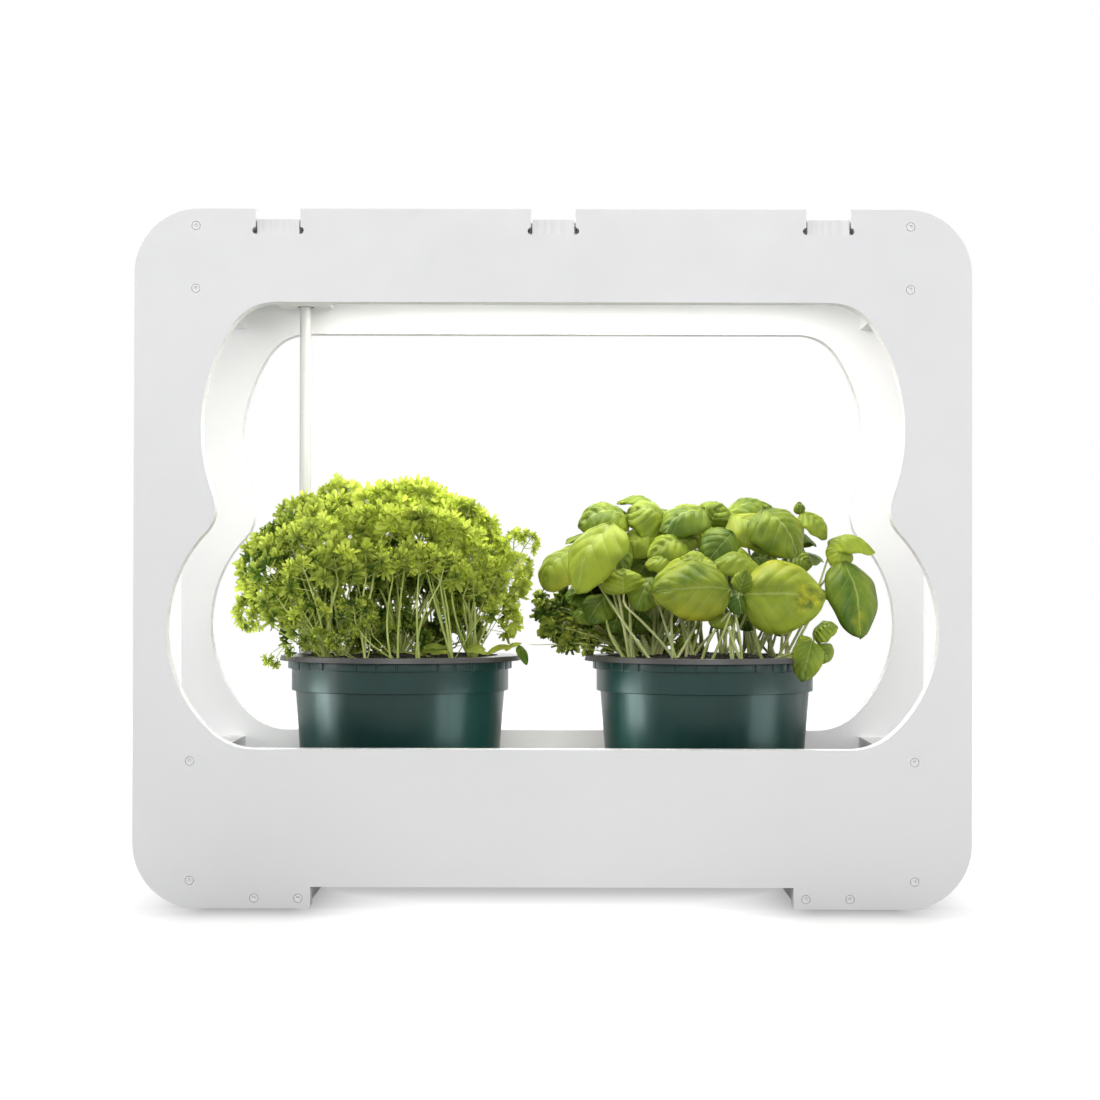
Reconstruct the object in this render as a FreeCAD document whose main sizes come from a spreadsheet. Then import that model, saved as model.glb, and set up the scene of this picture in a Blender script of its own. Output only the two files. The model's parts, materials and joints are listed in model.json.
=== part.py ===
import FreeCAD, Part
import math
import os
import Sketcher
from FreeCAD import Placement, Rotation, Vector

# A countertop herb garden: two thick boards with an hourglass opening, a lid with a lamp under it,
# and a water trough with two potted herbs. Millimetres, +Z up, front at -Y, origin under the middle.

SIZES = (
    ("overall_width", 530.0),
    ("overall_depth", 204.0),
    ("overall_height", 442.2),
    ("board_thickness", 13.4),
    ("board_corner", 41.0),
    ("foot_height", 13.6),
    ("foot_length", 112.5),
    ("foot_corner", 2.0),
    ("top_band", 59.0),
    ("opening_bottom", 100.3),
    ("upper_lobe_radius", 119.5),
    ("upper_lobe_inset", 161.8),
    ("upper_lobe_drop", 80.2),
    ("lower_lobe_radius", 88.5),
    ("lower_lobe_inset", 109.2),
    ("lower_lobe_rise", 75.7),
    ("waist_radius", 22.5),
    ("top_fillet", 33.0),
    ("bottom_fillet", 40.0),
    ("notch_width", 28.3),
    ("notch_depth", 15.9),
    ("notch_inset", 90.7),
    ("relief_radius", 2.2),
    ("tab_width", 26.6),
    ("tab_setback", 1.5),
    ("lid_thickness", 9.4),
    ("lid_gap", 0.5),
    ("spacer_thickness", 13.4),
    ("spacer_inset", 38.8),
    ("spacer_height", 49.0),
    ("spacer_drop", 6.4),
    ("upper_screw_drop", 10.8),
    ("upper_screw_spacing", 39.8),
    ("end_wall_thickness", 20.0),
    ("end_wall_inset", 36.2),
    ("end_wall_top", 96.0),
    ("lower_screw_high", 92.7),
    ("lower_screw_low", 17.5),
    ("foot_bar_width", 36.8),
    ("foot_bar_inset", 90.9),
    ("foot_screw_rise", 6.4),
    ("foot_screw_spacing", 27.8),
    ("floor_thickness", 6.4),
    ("floor_gap", 0.2),
    ("tray_gap", 1.0),
    ("tray_wall", 1.8),
    ("tray_height", 60.0),
    ("tray_corner", 12.0),
    ("standpipe_wall", 2.2),
    ("standpipe_drop", 4.0),
    ("screw_head_diameter", 5.0),
    ("screw_head_height", 3.0),
    ("screw_head_gap", 0.3),
    ("screw_shank_diameter", 3.0),
    ("screw_shank_length", 30.0),
    ("screw_hole_gap", 0.1),
    ("pilot_end_gap", 1.0),
    ("hex_diameter", 2.9),
    ("hex_depth", 1.6),
    ("lid_screw_shank", 8.0),
    ("tube_diameter", 8.0),
    ("tube_wall", 1.0),
    ("tube_rear_inset", 26.6),
    ("tube_entry", 3.0),
    ("tube_gap", 0.3),
    ("lead_diameter", 3.0),
    ("lead_bend", 12.0),
    ("lead_rise", 7.0),
    ("channel_width", 6.0),
    ("channel_depth", 9.0),
    ("gland_body_diameter", 7.6),
    ("gland_flange_diameter", 11.0),
    ("gland_flange_height", 2.0),
    ("gland_bore", 3.6),
    ("box_width", 36.5),
    ("box_outer_inset", 72.5),
    ("box_rear_inset", 10.6),
    ("box_length", 58.0),
    ("box_height", 27.3),
    ("box_wall", 2.0),
    ("box_corner", 6.0),
    ("box_post", 7.0),
    ("box_entry_depth", 2.5),
    ("rail_width", 2.0),
    ("rail_first", 12.0),
    ("rail_second", 32.0),
    ("bush_wall", 1.7),
    ("bush_flange_reach", 1.5),
    ("bush_flange_height", 1.2),
    ("plug_edge", 0.3),
    ("plug_body", 6.0),
    ("plug_barrel_diameter", 5.5),
    ("plug_barrel", 9.5),
    ("plug_stem", 8.0),
    ("plug_stem_gap", 0.1),
    ("plug_end_gap", 1.0),
    ("socket_diameter", 11.0),
    ("socket_gap", 0.3),
    ("circuit_length", 28.0),
    ("circuit_width", 26.0),
    ("circuit_thickness", 1.6),
    ("circuit_rise", 3.0),
    ("circuit_gap", 0.5),
    ("coil_length", 13.0),
    ("coil_width", 12.0),
    ("coil_height", 9.0),
    ("coil_x", 2.0),
    ("coil_y", 3.0),
    ("can_diameter", 8.0),
    ("can_height", 10.0),
    ("can_x", 21.0),
    ("can_y", 20.0),
    ("chip_length", 7.0),
    ("chip_width", 5.0),
    ("chip_thickness", 1.6),
    ("chip_x", 4.0),
    ("chip_y", 20.0),
    ("lamp_width", 60.0),
    ("lamp_height", 22.0),
    ("lamp_wall", 2.0),
    ("lamp_lip", 2.5),
    ("lamp_cap", 5.0),
    ("lamp_end_inset", 80.0),
    ("lamp_gap", 0.3),
    ("lamp_screw_inset", 15.0),
    ("diffuser_thickness", 2.0),
    ("led_board_thickness", 1.6),
    ("led_length", 5.0),
    ("led_thickness", 0.8),
    ("wire_diameter", 1.2),
    ("wire_spacing", 3.0),
    ("wire_hole_gap", 1.0),
    ("wire_in_box", 4.0),
    ("wire_in_lamp", 6.0),
    ("pot_inset", 6.7),
    ("pot_bottom_diameter", 123.6),
    ("pot_body_diameter", 140.4),
    ("pot_body_height", 111.6),
    ("pot_band_diameter", 145.7),
    ("pot_band_height", 14.6),
    ("pot_collar_diameter", 150.7),
    ("pot_collar_height", 5.5),
    ("pot_wall", 2.0),
    ("pot_floor", 2.4),
    ("insert_gap", 0.6),
    ("insert_wall", 1.6),
    ("insert_rise", 34.0),
    ("insert_flange_diameter", 162.0),
    ("insert_flange_height", 3.2),
    ("insert_flange_slope", 0.8),
    ("drain_diameter", 6.0),
    ("drain_circle", 70.0),
    ("soil_gap", 0.3),
    ("soil_edge_drop", 3.0),
    ("soil_heap", 6.0),
    ("soil_shoulder_rise", 4.8),
    ("parsley_length", 194.0),
    ("parsley_depth", 124.0),
    ("parsley_height", 92.0),
    ("parsley_rise", 24.0),
    ("basil_length", 208.0),
    ("basil_depth", 132.0),
    ("basil_height", 90.0),
    ("basil_rise", 16.0),
    ("stem_bundle_bottom", 30.0),
    ("stem_bundle_top", 76.0),
    ("cut_past", 1.0),
)

LED_ROWS = 3
LEDS_IN_ROW = 16
DRAIN_COUNT = 8
SOIL_SHOULDER = 0.6
SOIL_CROWN = 0.3

doc = FreeCAD.newDocument("herb_garden")
sheet = doc.addObject("Spreadsheet::Sheet", "Sizes")
for row, (alias, size) in enumerate(SIZES, start=1):
    sheet.set("A%d" % row, alias)
    sheet.set("B%d" % row, str(size))
    sheet.setAlias("B%d" % row, alias)
doc.recompute()

pieces = []

# Places that several pieces share, as expressions of the sheet.
HALF_WIDTH = "(Sizes.overall_width / 2)"
HALF_DEPTH = "(Sizes.overall_depth / 2)"
INNER_DEPTH = "(Sizes.overall_depth - 2 * Sizes.board_thickness)"
BOARD_FACE = "(Sizes.overall_depth / 2 - Sizes.board_thickness)"
FOOT_INNER = "(Sizes.overall_width / 2 - Sizes.foot_length)"
NOTCH_X = "(Sizes.overall_width / 2 - Sizes.notch_inset)"
NOTCH_BOTTOM = "(Sizes.overall_height - Sizes.notch_depth)"
OPENING_TOP = "(Sizes.overall_height - Sizes.top_band)"
SPACER_X = "(Sizes.overall_width / 2 - Sizes.spacer_inset)"
SPACER_TOP = "(Sizes.overall_height - Sizes.spacer_drop)"
END_WALL_X = "(Sizes.overall_width / 2 - Sizes.end_wall_inset)"
END_WALL_FACE = "(Sizes.overall_width / 2 - Sizes.end_wall_inset - Sizes.end_wall_thickness / 2)"
FOOT_BAR_X = "(Sizes.overall_width / 2 - Sizes.foot_bar_inset)"
FLOOR_TOP = "(Sizes.foot_height + Sizes.floor_thickness)"
TRAY_FLOOR = "(Sizes.foot_height + Sizes.floor_thickness + Sizes.tray_wall)"
TUBE_Y = "(Sizes.overall_depth / 2 - Sizes.board_thickness - Sizes.tube_rear_inset)"
BOX_LEFT = "(-Sizes.overall_width / 2 + Sizes.box_outer_inset)"
BOX_RIGHT = "(-Sizes.overall_width / 2 + Sizes.box_outer_inset + Sizes.box_width)"
BOX_REAR = "(Sizes.overall_depth / 2 - Sizes.board_thickness - Sizes.box_rear_inset)"
BOX_FRONT = "(%s - Sizes.box_length)" % BOX_REAR
BOX_BOTTOM = "(%s - Sizes.box_height)" % NOTCH_BOTTOM
BOX_FLOOR = "(%s + Sizes.box_wall)" % BOX_BOTTOM
TUBE_TOP = "(%s + Sizes.tube_entry)" % BOX_BOTTOM
BUSH_RADIUS = "(Sizes.tube_diameter / 2 + Sizes.tube_gap + Sizes.bush_wall)"
SHANK_HOLE = "(Sizes.screw_shank_diameter + 2 * Sizes.screw_hole_gap)"
HEAD_HOLE = "(Sizes.screw_head_diameter + 2 * Sizes.screw_head_gap)"
PILOT_DEPTH = ("(Sizes.screw_head_height + Sizes.screw_shank_length - Sizes.board_thickness"
               " + Sizes.pilot_end_gap)")
LAMP_LEFT = "(%s + Sizes.lamp_gap)" % BOX_RIGHT
LAMP_RIGHT = "(Sizes.overall_width / 2 - Sizes.lamp_end_inset)"
LAMP_BOTTOM = "(%s - Sizes.lamp_height)" % NOTCH_BOTTOM
POT_X = "(%s / 2 - Sizes.pot_inset)" % END_WALL_FACE
LED_BOARD_BOTTOM = "(%s - Sizes.lamp_wall - Sizes.led_board_thickness)" % NOTCH_BOTTOM
WIRE_Z = "(%s - Sizes.wire_diameter / 2)" % LED_BOARD_BOTTOM
WIRE_Y = "(Sizes.lamp_width / 2 - 2 * Sizes.lamp_wall - Sizes.wire_spacing / 2)"
WIRE_HOLE = "(Sizes.wire_spacing + Sizes.wire_diameter + Sizes.wire_hole_gap)"
UPPER_LOBE = ("(%s - Sizes.upper_lobe_inset)" % HALF_WIDTH, "(%s - Sizes.upper_lobe_drop)" % OPENING_TOP)
LOWER_LOBE = ("(%s - Sizes.lower_lobe_inset)" % HALF_WIDTH,
              "(Sizes.opening_bottom + Sizes.lower_lobe_rise)")
ARC_SIZES = (
    ("top", "Sizes.top_fillet"), ("upper", "Sizes.upper_lobe_radius"), ("waist", "Sizes.waist_radius"),
    ("lower", "Sizes.lower_lobe_radius"), ("bottom", "Sizes.bottom_fillet"))

# Radii and heights of a pot, from its own bottom.
POT_TOP = "(Sizes.pot_body_height + Sizes.pot_band_height + Sizes.pot_collar_height)"
POT_SLOPE = "((Sizes.pot_body_diameter - Sizes.pot_bottom_diameter) / 2 / Sizes.pot_body_height)"
POT_INSIDE = "(Sizes.pot_bottom_diameter / 2 - Sizes.pot_wall)"
INSERT_BOTTOM_RADIUS = "(%s + %s * Sizes.insert_rise - Sizes.insert_gap)" % (POT_INSIDE, POT_SLOPE)
INSERT_TOP_RADIUS = "(%s + %s * Sizes.pot_body_height - Sizes.insert_gap)" % (POT_INSIDE, POT_SLOPE)
INSERT_FLOOR = "(Sizes.insert_rise + Sizes.insert_wall)"
SOIL_TOP = "(%s - Sizes.soil_edge_drop + Sizes.soil_heap)" % POT_TOP


def number(expression):
    """The value that an expression has now."""
    return float(sheet.evalExpression(expression))


def negative(expression):
    """The same expression on the other side of the middle."""
    return "-(%s)" % expression


def keep(piece, name):
    """Name a finished sub-part; its name is also its file's name."""
    piece.Label = name
    pieces.append(piece)
    return piece


def bind(piece, **sizes):
    """Bind properties of a piece to expressions."""
    for name, expression in sizes.items():
        piece.setExpression(name, expression)


def move(piece, x="0", y="0", z="0"):
    """Bind a piece's place to expressions."""
    piece.setExpression("Placement.Base.x", x)
    piece.setExpression("Placement.Base.y", y)
    piece.setExpression("Placement.Base.z", z)


def turn(piece, axis, angle):
    """Turn a piece about an axis through its own zero."""
    piece.Placement = Placement(Vector(), Rotation(axis, angle))


def block(name, length, width, height, x, y, z):
    """A block with its low corner at x, y, z."""
    piece = doc.addObject("Part::Box", name)
    bind(piece, Length=length, Width=width, Height=height)
    move(piece, x, y, z)
    return piece


def rod(name, diameter, length, x, y, z, axis="Z"):
    """A round bar that starts at x, y, z and runs along an axis."""
    piece = doc.addObject("Part::Cylinder", name)
    if axis == "X":
        turn(piece, Vector(0, 1, 0), 90)
    if axis == "Y":
        turn(piece, Vector(1, 0, 0), -90)
    bind(piece, Radius="(%s) / 2" % diameter, Height=length)
    move(piece, x, y, z)
    return piece


def group(name, members):
    """Several solids kept apart in one object."""
    piece = doc.addObject("Part::Compound", name)
    piece.Links = members
    return piece


def joined(name, members):
    """Several solids fused to one."""
    piece = doc.addObject("Part::MultiFuse", name)
    piece.Shapes = members
    piece.Refine = True
    return piece


def without(name, base, tools):
    """A solid with others cut from it."""
    piece = doc.addObject("Part::Cut", name)
    piece.Base = base
    piece.Tool = tools[0] if len(tools) == 1 else group(name + "_tools", tools)
    return piece


def new_body(name):
    """An empty body for a chain of sketched features."""
    return doc.addObject("PartDesign::Body", name)


def plane_of(body, role):
    """An origin plane of a body, found by its role."""
    for feature in body.Origin.OriginFeatures:
        if feature.Role == role:
            return feature
    raise ValueError("no plane %s" % role)


def new_sketch(body, name, role="XY_Plane", height="0"):
    """A sketch on an origin plane of its own body, lifted along the plane's normal."""
    sketch = body.newObject("Sketcher::SketchObject", name)
    sketch.AttachmentSupport = [(plane_of(body, role), "")]
    sketch.MapMode = "FlatFace"
    sketch.setExpression("AttachmentOffset.Base.z", height)
    return sketch


def hold(sketch, kind, where, expression):
    """Add a dimension to a sketch and bind it to an expression."""
    index = sketch.addConstraint(Sketcher.Constraint(kind, *where, number(expression)))
    name = "size_%d" % index
    sketch.renameConstraint(index, name)
    sketch.setExpression("Constraints." + name, expression)


def hold_point(sketch, curve, point, x, y):
    """Hold a point of a curve at x, y from the sketch's zero; None leaves a direction free."""
    for kind, expression, axis in (("DistanceX", x, -2), ("DistanceY", y, -1)):
        if expression is None:
            continue
        if abs(number(expression)) < 1e-9:
            sketch.addConstraint(Sketcher.Constraint("PointOnObject", curve, point, axis))
        elif number(expression) > 0:
            hold(sketch, kind, (-1, 1, curve, point), expression)
        else:
            hold(sketch, kind, (curve, point, -1, 1), negative(expression))


def add_arc(sketch, centre, radius, first, last, clockwise):
    """An arc from first to last; gives its number and which of its ends comes first."""
    angles = [math.atan2(p.y - centre.y, p.x - centre.x) for p in (first, last)]
    if clockwise:
        angles.reverse()
    if angles[1] <= angles[0]:
        angles[1] += 2 * math.pi
    circle = Part.Circle(centre, Vector(0, 0, 1), radius)
    curve = sketch.addGeometry(Part.ArcOfCircle(circle, angles[0], angles[1]), False)
    return (curve, 2, 1) if clockwise else (curve, 1, 2)


def round_corner(sketch, corner, before, after, radius, sides):
    """A fillet between two sides of an outline."""
    size = number(radius)
    incoming = (corner - before).normalize()
    outgoing = (after - corner).normalize()
    centre = corner - incoming * size + outgoing * size
    clockwise = incoming.cross(outgoing).z < 0
    curve, start, end = add_arc(
        sketch, centre, size, corner - incoming * size, corner + outgoing * size, clockwise)
    sketch.addConstraint(Sketcher.Constraint("Tangent", sides[0], 2, curve, start))
    sketch.addConstraint(Sketcher.Constraint("Tangent", curve, end, sides[1], 1))
    hold(sketch, "Radius", (curve,), radius)


def square_outline(sketch, corners):
    """A closed outline of level and upright sides, with round corners where a radius is given."""
    points = [Vector(number(x), number(y), 0) for x, y, radius in corners]
    radii = [number(radius) if radius else 0.0 for x, y, radius in corners]
    sides = []
    for i, start in enumerate(points):
        j = (i + 1) % len(points)
        along = (points[j] - start).normalize()
        line = Part.LineSegment(start + along * radii[i], points[j] - along * radii[j])
        side = sketch.addGeometry(line, False)
        if abs(along.x) > abs(along.y):
            sketch.addConstraint(Sketcher.Constraint("Horizontal", side))
            hold_point(sketch, side, 1, None, corners[i][1])
        else:
            sketch.addConstraint(Sketcher.Constraint("Vertical", side))
            hold_point(sketch, side, 1, corners[i][0], None)
        sides.append(side)
    for i, corner in enumerate(points):
        if radii[i]:
            after = points[(i + 1) % len(points)]
            round_corner(sketch, corner, points[i - 1], after, corners[i][2], (sides[i - 1], sides[i]))
        else:
            sketch.addConstraint(Sketcher.Constraint("Coincident", sides[i - 1], 2, sides[i], 1))


def rectangle(sketch, low_x, low_y, high_x, high_y, radius=None):
    """A rectangle, with round corners where a radius is given."""
    square_outline(sketch, (
        (low_x, low_y, radius), (high_x, low_y, radius),
        (high_x, high_y, radius), (low_x, high_y, radius)))


def polygon(sketch, corners):
    """A closed outline of straight sides through corners given as expressions."""
    points = [Vector(number(x), number(y), 0) for x, y in corners]
    sides = []
    for i, start in enumerate(points):
        sides.append(sketch.addGeometry(Part.LineSegment(start, points[(i + 1) % len(points)]), False))
    for i, (x, y) in enumerate(corners):
        sketch.addConstraint(Sketcher.Constraint("Coincident", sides[i - 1], 2, sides[i], 1))
        hold_point(sketch, sides[i], 1, x, y)


def circles(sketch, places, diameter):
    """Circles of one diameter at places given as expressions."""
    for x, y in places:
        centre = Vector(number(x), number(y), 0)
        curve = sketch.addGeometry(Part.Circle(centre, Vector(0, 0, 1), number(diameter) / 2), False)
        hold_point(sketch, curve, 3, x, y)
        hold(sketch, "Diameter", (curve,), diameter)


def pad(body, name, sketch, length, backwards=False):
    """Raise a sketch to a solid."""
    feature = body.newObject("PartDesign::Pad", name)
    feature.Profile = sketch
    feature.Reversed = backwards
    bind(feature, Length=length)
    doc.recompute()
    return feature


def pocket(body, name, sketch, depth=None, backwards=False):
    """Cut a sketch into the body, right through where no depth is given."""
    before = body.Shape.Volume
    feature = body.newObject("PartDesign::Pocket", name)
    feature.Profile = sketch
    feature.Reversed = backwards
    if depth is None:
        feature.Type = "ThroughAll"
    else:
        bind(feature, Length=depth)
    doc.recompute()
    if body.Shape.Volume > before - 0.01:
        raise ValueError("%s cuts nothing" % name)
    return feature


def revolved(name, corners):
    """A body of revolution about Z from a half section of radius and height."""
    body = new_body(name)
    sketch = new_sketch(body, name + "_section", "XZ_Plane")
    polygon(sketch, corners)
    feature = body.newObject("PartDesign::Revolution", name + "_turned")
    feature.Profile = sketch
    feature.ReferenceAxis = (sketch, ["V_Axis"])
    feature.Angle = 360
    doc.recompute()
    return body


def opening_points():
    """The hourglass opening's centres and touching points on the right half."""
    upper = Vector(number(UPPER_LOBE[0]), number(UPPER_LOBE[1]), 0)
    lower = Vector(number(LOWER_LOBE[0]), number(LOWER_LOBE[1]), 0)
    r_upper = number("Sizes.upper_lobe_radius")
    r_lower = number("Sizes.lower_lobe_radius")
    r_waist = number("Sizes.waist_radius")
    r_top = number("Sizes.top_fillet")
    r_bottom = number("Sizes.bottom_fillet")
    top = number(OPENING_TOP)
    bottom = number("Sizes.opening_bottom")
    top_rise = top - r_top - upper.y
    top_centre = upper + Vector(math.sqrt((r_upper - r_top) ** 2 - top_rise ** 2), top_rise, 0)
    low_rise = bottom + r_bottom - lower.y
    low_centre = lower + Vector(math.sqrt((r_lower - r_bottom) ** 2 - low_rise ** 2), low_rise, 0)
    span = upper - lower
    along = (span.Length ** 2 + (r_lower + r_waist) ** 2 - (r_upper + r_waist) ** 2) / (2 * span.Length)
    aside = math.sqrt((r_lower + r_waist) ** 2 - along ** 2)
    unit = Vector(span).normalize()
    waist = lower + unit * along + Vector(unit.y, -unit.x, 0) * aside
    return {
        "top": (top_centre, r_top), "upper": (upper, r_upper), "waist": (waist, r_waist),
        "lower": (lower, r_lower), "bottom": (low_centre, r_bottom),
        "points": [
            Vector(top_centre.x, top, 0),
            upper + (top_centre - upper).normalize() * r_upper,
            upper + (waist - upper).normalize() * r_upper,
            lower + (waist - lower).normalize() * r_lower,
            lower + (low_centre - lower).normalize() * r_lower,
            Vector(low_centre.x, bottom, 0),
        ],
    }


def opening_side(sketch, shape, side):
    """The five arcs of one side of the opening, from the top line to the bottom line."""
    arcs = []
    for i, (key, radius) in enumerate(ARC_SIZES):
        centre, size = shape[key]
        ends = [Vector(side * p.x, p.y, 0) for p in shape["points"][i:i + 2]]
        turns_in = key != "waist"
        clockwise = turns_in if side > 0 else not turns_in
        middle = Vector(side * centre.x, centre.y, 0)
        arcs.append(add_arc(sketch, middle, size, ends[0], ends[1], clockwise))
        hold(sketch, "Radius", (arcs[-1][0],), radius)
    for before, after in zip(arcs, arcs[1:]):
        sketch.addConstraint(Sketcher.Constraint("Tangent", before[0], before[2], after[0], after[1]))
    for arc, (x, y) in ((arcs[1], UPPER_LOBE), (arcs[3], LOWER_LOBE)):
        hold_point(sketch, arc[0], 3, x if side > 0 else negative(x), y)
    return arcs


def opening_outline(sketch):
    """The hourglass opening: two lobes a side, a rounded waist and two level edges."""
    shape = opening_points()
    top_right = shape["points"][0]
    low_right = shape["points"][-1]
    top = sketch.addGeometry(Part.LineSegment(Vector(-top_right.x, top_right.y, 0), top_right), False)
    bottom = sketch.addGeometry(Part.LineSegment(low_right, Vector(-low_right.x, low_right.y, 0)), False)
    for line, height in ((top, OPENING_TOP), (bottom, "Sizes.opening_bottom")):
        sketch.addConstraint(Sketcher.Constraint("Horizontal", line))
        hold_point(sketch, line, 1, None, height)
    right = opening_side(sketch, shape, 1)
    left = opening_side(sketch, shape, -1)
    for line, point, arc, end in (
            (top, 2, right[0], 1), (top, 1, left[0], 1),
            (bottom, 1, right[-1], 2), (bottom, 2, left[-1], 2)):
        sketch.addConstraint(Sketcher.Constraint("Tangent", line, point, arc[0], arc[end]))


def board_outline(sketch):
    """A board's outline: four round corners and a foot at each end of the bottom edge."""
    right = (
        (HALF_WIDTH, "Sizes.overall_height", "Sizes.board_corner"),
        (HALF_WIDTH, "0", "Sizes.board_corner"),
        (FOOT_INNER, "0", "Sizes.foot_corner"),
        (FOOT_INNER, "Sizes.foot_height", None))
    left = [(negative(x), y, radius) for x, y, radius in reversed(right)]
    square_outline(sketch, right + tuple(left))


def screw_places():
    """The places of the board screws, by the piece that they hold."""
    upper = [(SPACER_X, "(Sizes.overall_height - Sizes.upper_screw_drop - %s)" % drop)
             for drop in ("0", "Sizes.upper_screw_spacing")]
    lower = [(END_WALL_X, height) for height in ("Sizes.lower_screw_high", "Sizes.lower_screw_low")]
    foot = [("(%s %s Sizes.foot_screw_spacing / 2)" % (FOOT_BAR_X, sign), "Sizes.foot_screw_rise")
            for sign in "+-"]
    return {"upper": upper, "lower": lower, "foot": foot}


SCREWS = screw_places()


def both_sides(places):
    """Places on the right and the same on the left."""
    return list(places) + [(negative(x), y) for x, y in places]


def board(name, side):
    """The front board (side -1) or the rear board (side 1, turned to face backwards)."""
    body = new_body(name)
    outline = new_sketch(body, name + "_outline", "XZ_Plane")
    board_outline(outline)
    pad(body, name + "_sheet", outline, "Sizes.board_thickness", backwards=True)
    opening = new_sketch(body, name + "_hourglass", "XZ_Plane")
    opening_outline(opening)
    pocket(body, name + "_opening", opening)
    notch_middles = ("0", NOTCH_X, negative(NOTCH_X))
    notches = new_sketch(body, name + "_notches", "XZ_Plane")
    for middle in notch_middles:
        rectangle(notches, "(%s - Sizes.notch_width / 2)" % middle, NOTCH_BOTTOM,
                  "(%s + Sizes.notch_width / 2)" % middle, "(Sizes.overall_height + Sizes.cut_past)")
    pocket(body, name + "_notch_cuts", notches)
    reliefs = new_sketch(body, name + "_reliefs", "XZ_Plane")
    relief_z = "(%s + Sizes.relief_radius)" % NOTCH_BOTTOM
    places = [("(%s %s Sizes.notch_width / 2)" % (middle, sign), relief_z)
              for middle in notch_middles for sign in "+-"]
    circles(reliefs, places, "(2 * Sizes.relief_radius)")
    pocket(body, name + "_relief_cuts", reliefs)
    places = both_sides(SCREWS["upper"] + SCREWS["lower"] + SCREWS["foot"])
    shanks = new_sketch(body, name + "_shanks", "XZ_Plane")
    circles(shanks, places, SHANK_HOLE)
    pocket(body, name + "_shank_holes", shanks)
    heads = new_sketch(body, name + "_heads", "XZ_Plane")
    circles(heads, places, HEAD_HOLE)
    pocket(body, name + "_head_holes", heads, "Sizes.screw_head_height")
    if side > 0:
        gland_holes(body, name)
        turn(body, Vector(0, 0, 1), 180)
    move(body, y=HALF_DEPTH if side > 0 else negative(HALF_DEPTH))
    return keep(body, name)


def gland_holes(body, name):
    """The stepped hole in the rear board's foot for the gland."""
    for part, diameter, depth in (
            ("bore", "(Sizes.gland_body_diameter + 2 * Sizes.screw_hole_gap)", None),
            ("recess", "(Sizes.gland_flange_diameter + 2 * Sizes.screw_hole_gap)",
             "Sizes.gland_flange_height")):
        sketch = new_sketch(body, "%s_gland_%s" % (name, part), "XZ_Plane")
        circles(sketch, [(FOOT_BAR_X, "Sizes.lead_rise")], diameter)
        pocket(body, "%s_gland_%s_cut" % (name, part), sketch, depth)


def top_lid():
    """The lid: a plate between the boards, with three tabs in each board's notches."""
    body = new_body("top_lid")
    half_x = "(%s - Sizes.spacer_thickness / 2 - Sizes.lid_gap)" % SPACER_X
    half_y = "(%s - Sizes.lid_gap)" % BOARD_FACE
    plate = new_sketch(body, "lid_plate")
    rectangle(plate, negative(half_x), negative(half_y), half_x, half_y)
    pad(body, "lid_plate_pad", plate, "Sizes.lid_thickness")
    tabs = new_sketch(body, "lid_tabs")
    tab_y = "(%s - Sizes.tab_setback)" % HALF_DEPTH
    for middle in ("0", NOTCH_X, negative(NOTCH_X)):
        rectangle(tabs, "(%s - Sizes.tab_width / 2)" % middle, negative(tab_y),
                  "(%s + Sizes.tab_width / 2)" % middle, tab_y)
    pad(body, "lid_tabs_pad", tabs, "Sizes.lid_thickness")
    places = lid_screw_places()
    shanks = new_sketch(body, "lid_shanks")
    circles(shanks, places, SHANK_HOLE)
    pocket(body, "lid_shank_holes", shanks, backwards=True)
    heads = new_sketch(body, "lid_heads", height="(Sizes.lid_thickness - Sizes.screw_head_height)")
    circles(heads, places, HEAD_HOLE)
    pocket(body, "lid_head_holes", heads, backwards=True)
    move(body, z=NOTCH_BOTTOM)
    return keep(body, "top_lid")


def lamp_screw_places():
    """Four screws through the lid into the lamp housing."""
    inset = "(Sizes.lamp_cap + Sizes.lamp_screw_inset)"
    return [(x, y) for x in ("(%s + %s)" % (LAMP_LEFT, inset), "(%s - %s)" % (LAMP_RIGHT, inset))
            for y in ("(Sizes.lamp_width / 4)", "-(Sizes.lamp_width / 4)")]


def box_screw_places():
    """Two screws through the lid into the junction box's posts."""
    edge = "(Sizes.box_wall + Sizes.box_post / 2)"
    return [("(%s - %s)" % (BOX_RIGHT, edge), "(%s - %s)" % (BOX_REAR, edge)),
            ("(%s + %s)" % (BOX_LEFT, edge), "(%s + %s)" % (BOX_FRONT, edge))]


def lid_screw_places():
    """All the screws that go down through the lid."""
    return lamp_screw_places() + box_screw_places()


def cross_block(name, side, middle, thickness, bottom, height, screws, channel=None):
    """A block between the boards, with pilot holes for its screws at both ends."""
    x = middle if side > 0 else negative(middle)
    bar = block(name + "_block", thickness, INNER_DEPTH, height,
                "(%s - %s / 2)" % (x, thickness), negative(BOARD_FACE), bottom)
    tools = []
    for screw_x, screw_z in screws:
        place = screw_x if side > 0 else negative(screw_x)
        for end, start in (("front", negative(BOARD_FACE)),
                           ("rear", "(%s - %s)" % (BOARD_FACE, PILOT_DEPTH))):
            tools.append(rod("%s_%s_pilot_%d" % (name, end, len(tools)), SHANK_HOLE, PILOT_DEPTH,
                             place, start, screw_z, "Y"))
    if channel:
        tools.append(channel)
    return keep(without(name, bar, tools), name)


def lead_channel():
    """The groove in the left foot bar that the supply lead runs in."""
    return block("lead_channel", "Sizes.channel_width",
                 "(Sizes.tube_rear_inset + Sizes.channel_width / 2 + Sizes.cut_past)",
                 "(Sizes.channel_depth + Sizes.cut_past)",
                 "(-%s - Sizes.channel_width / 2)" % FOOT_BAR_X,
                 "(%s - Sizes.channel_width / 2)" % TUBE_Y,
                 "(Sizes.foot_height - Sizes.channel_depth)")


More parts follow.
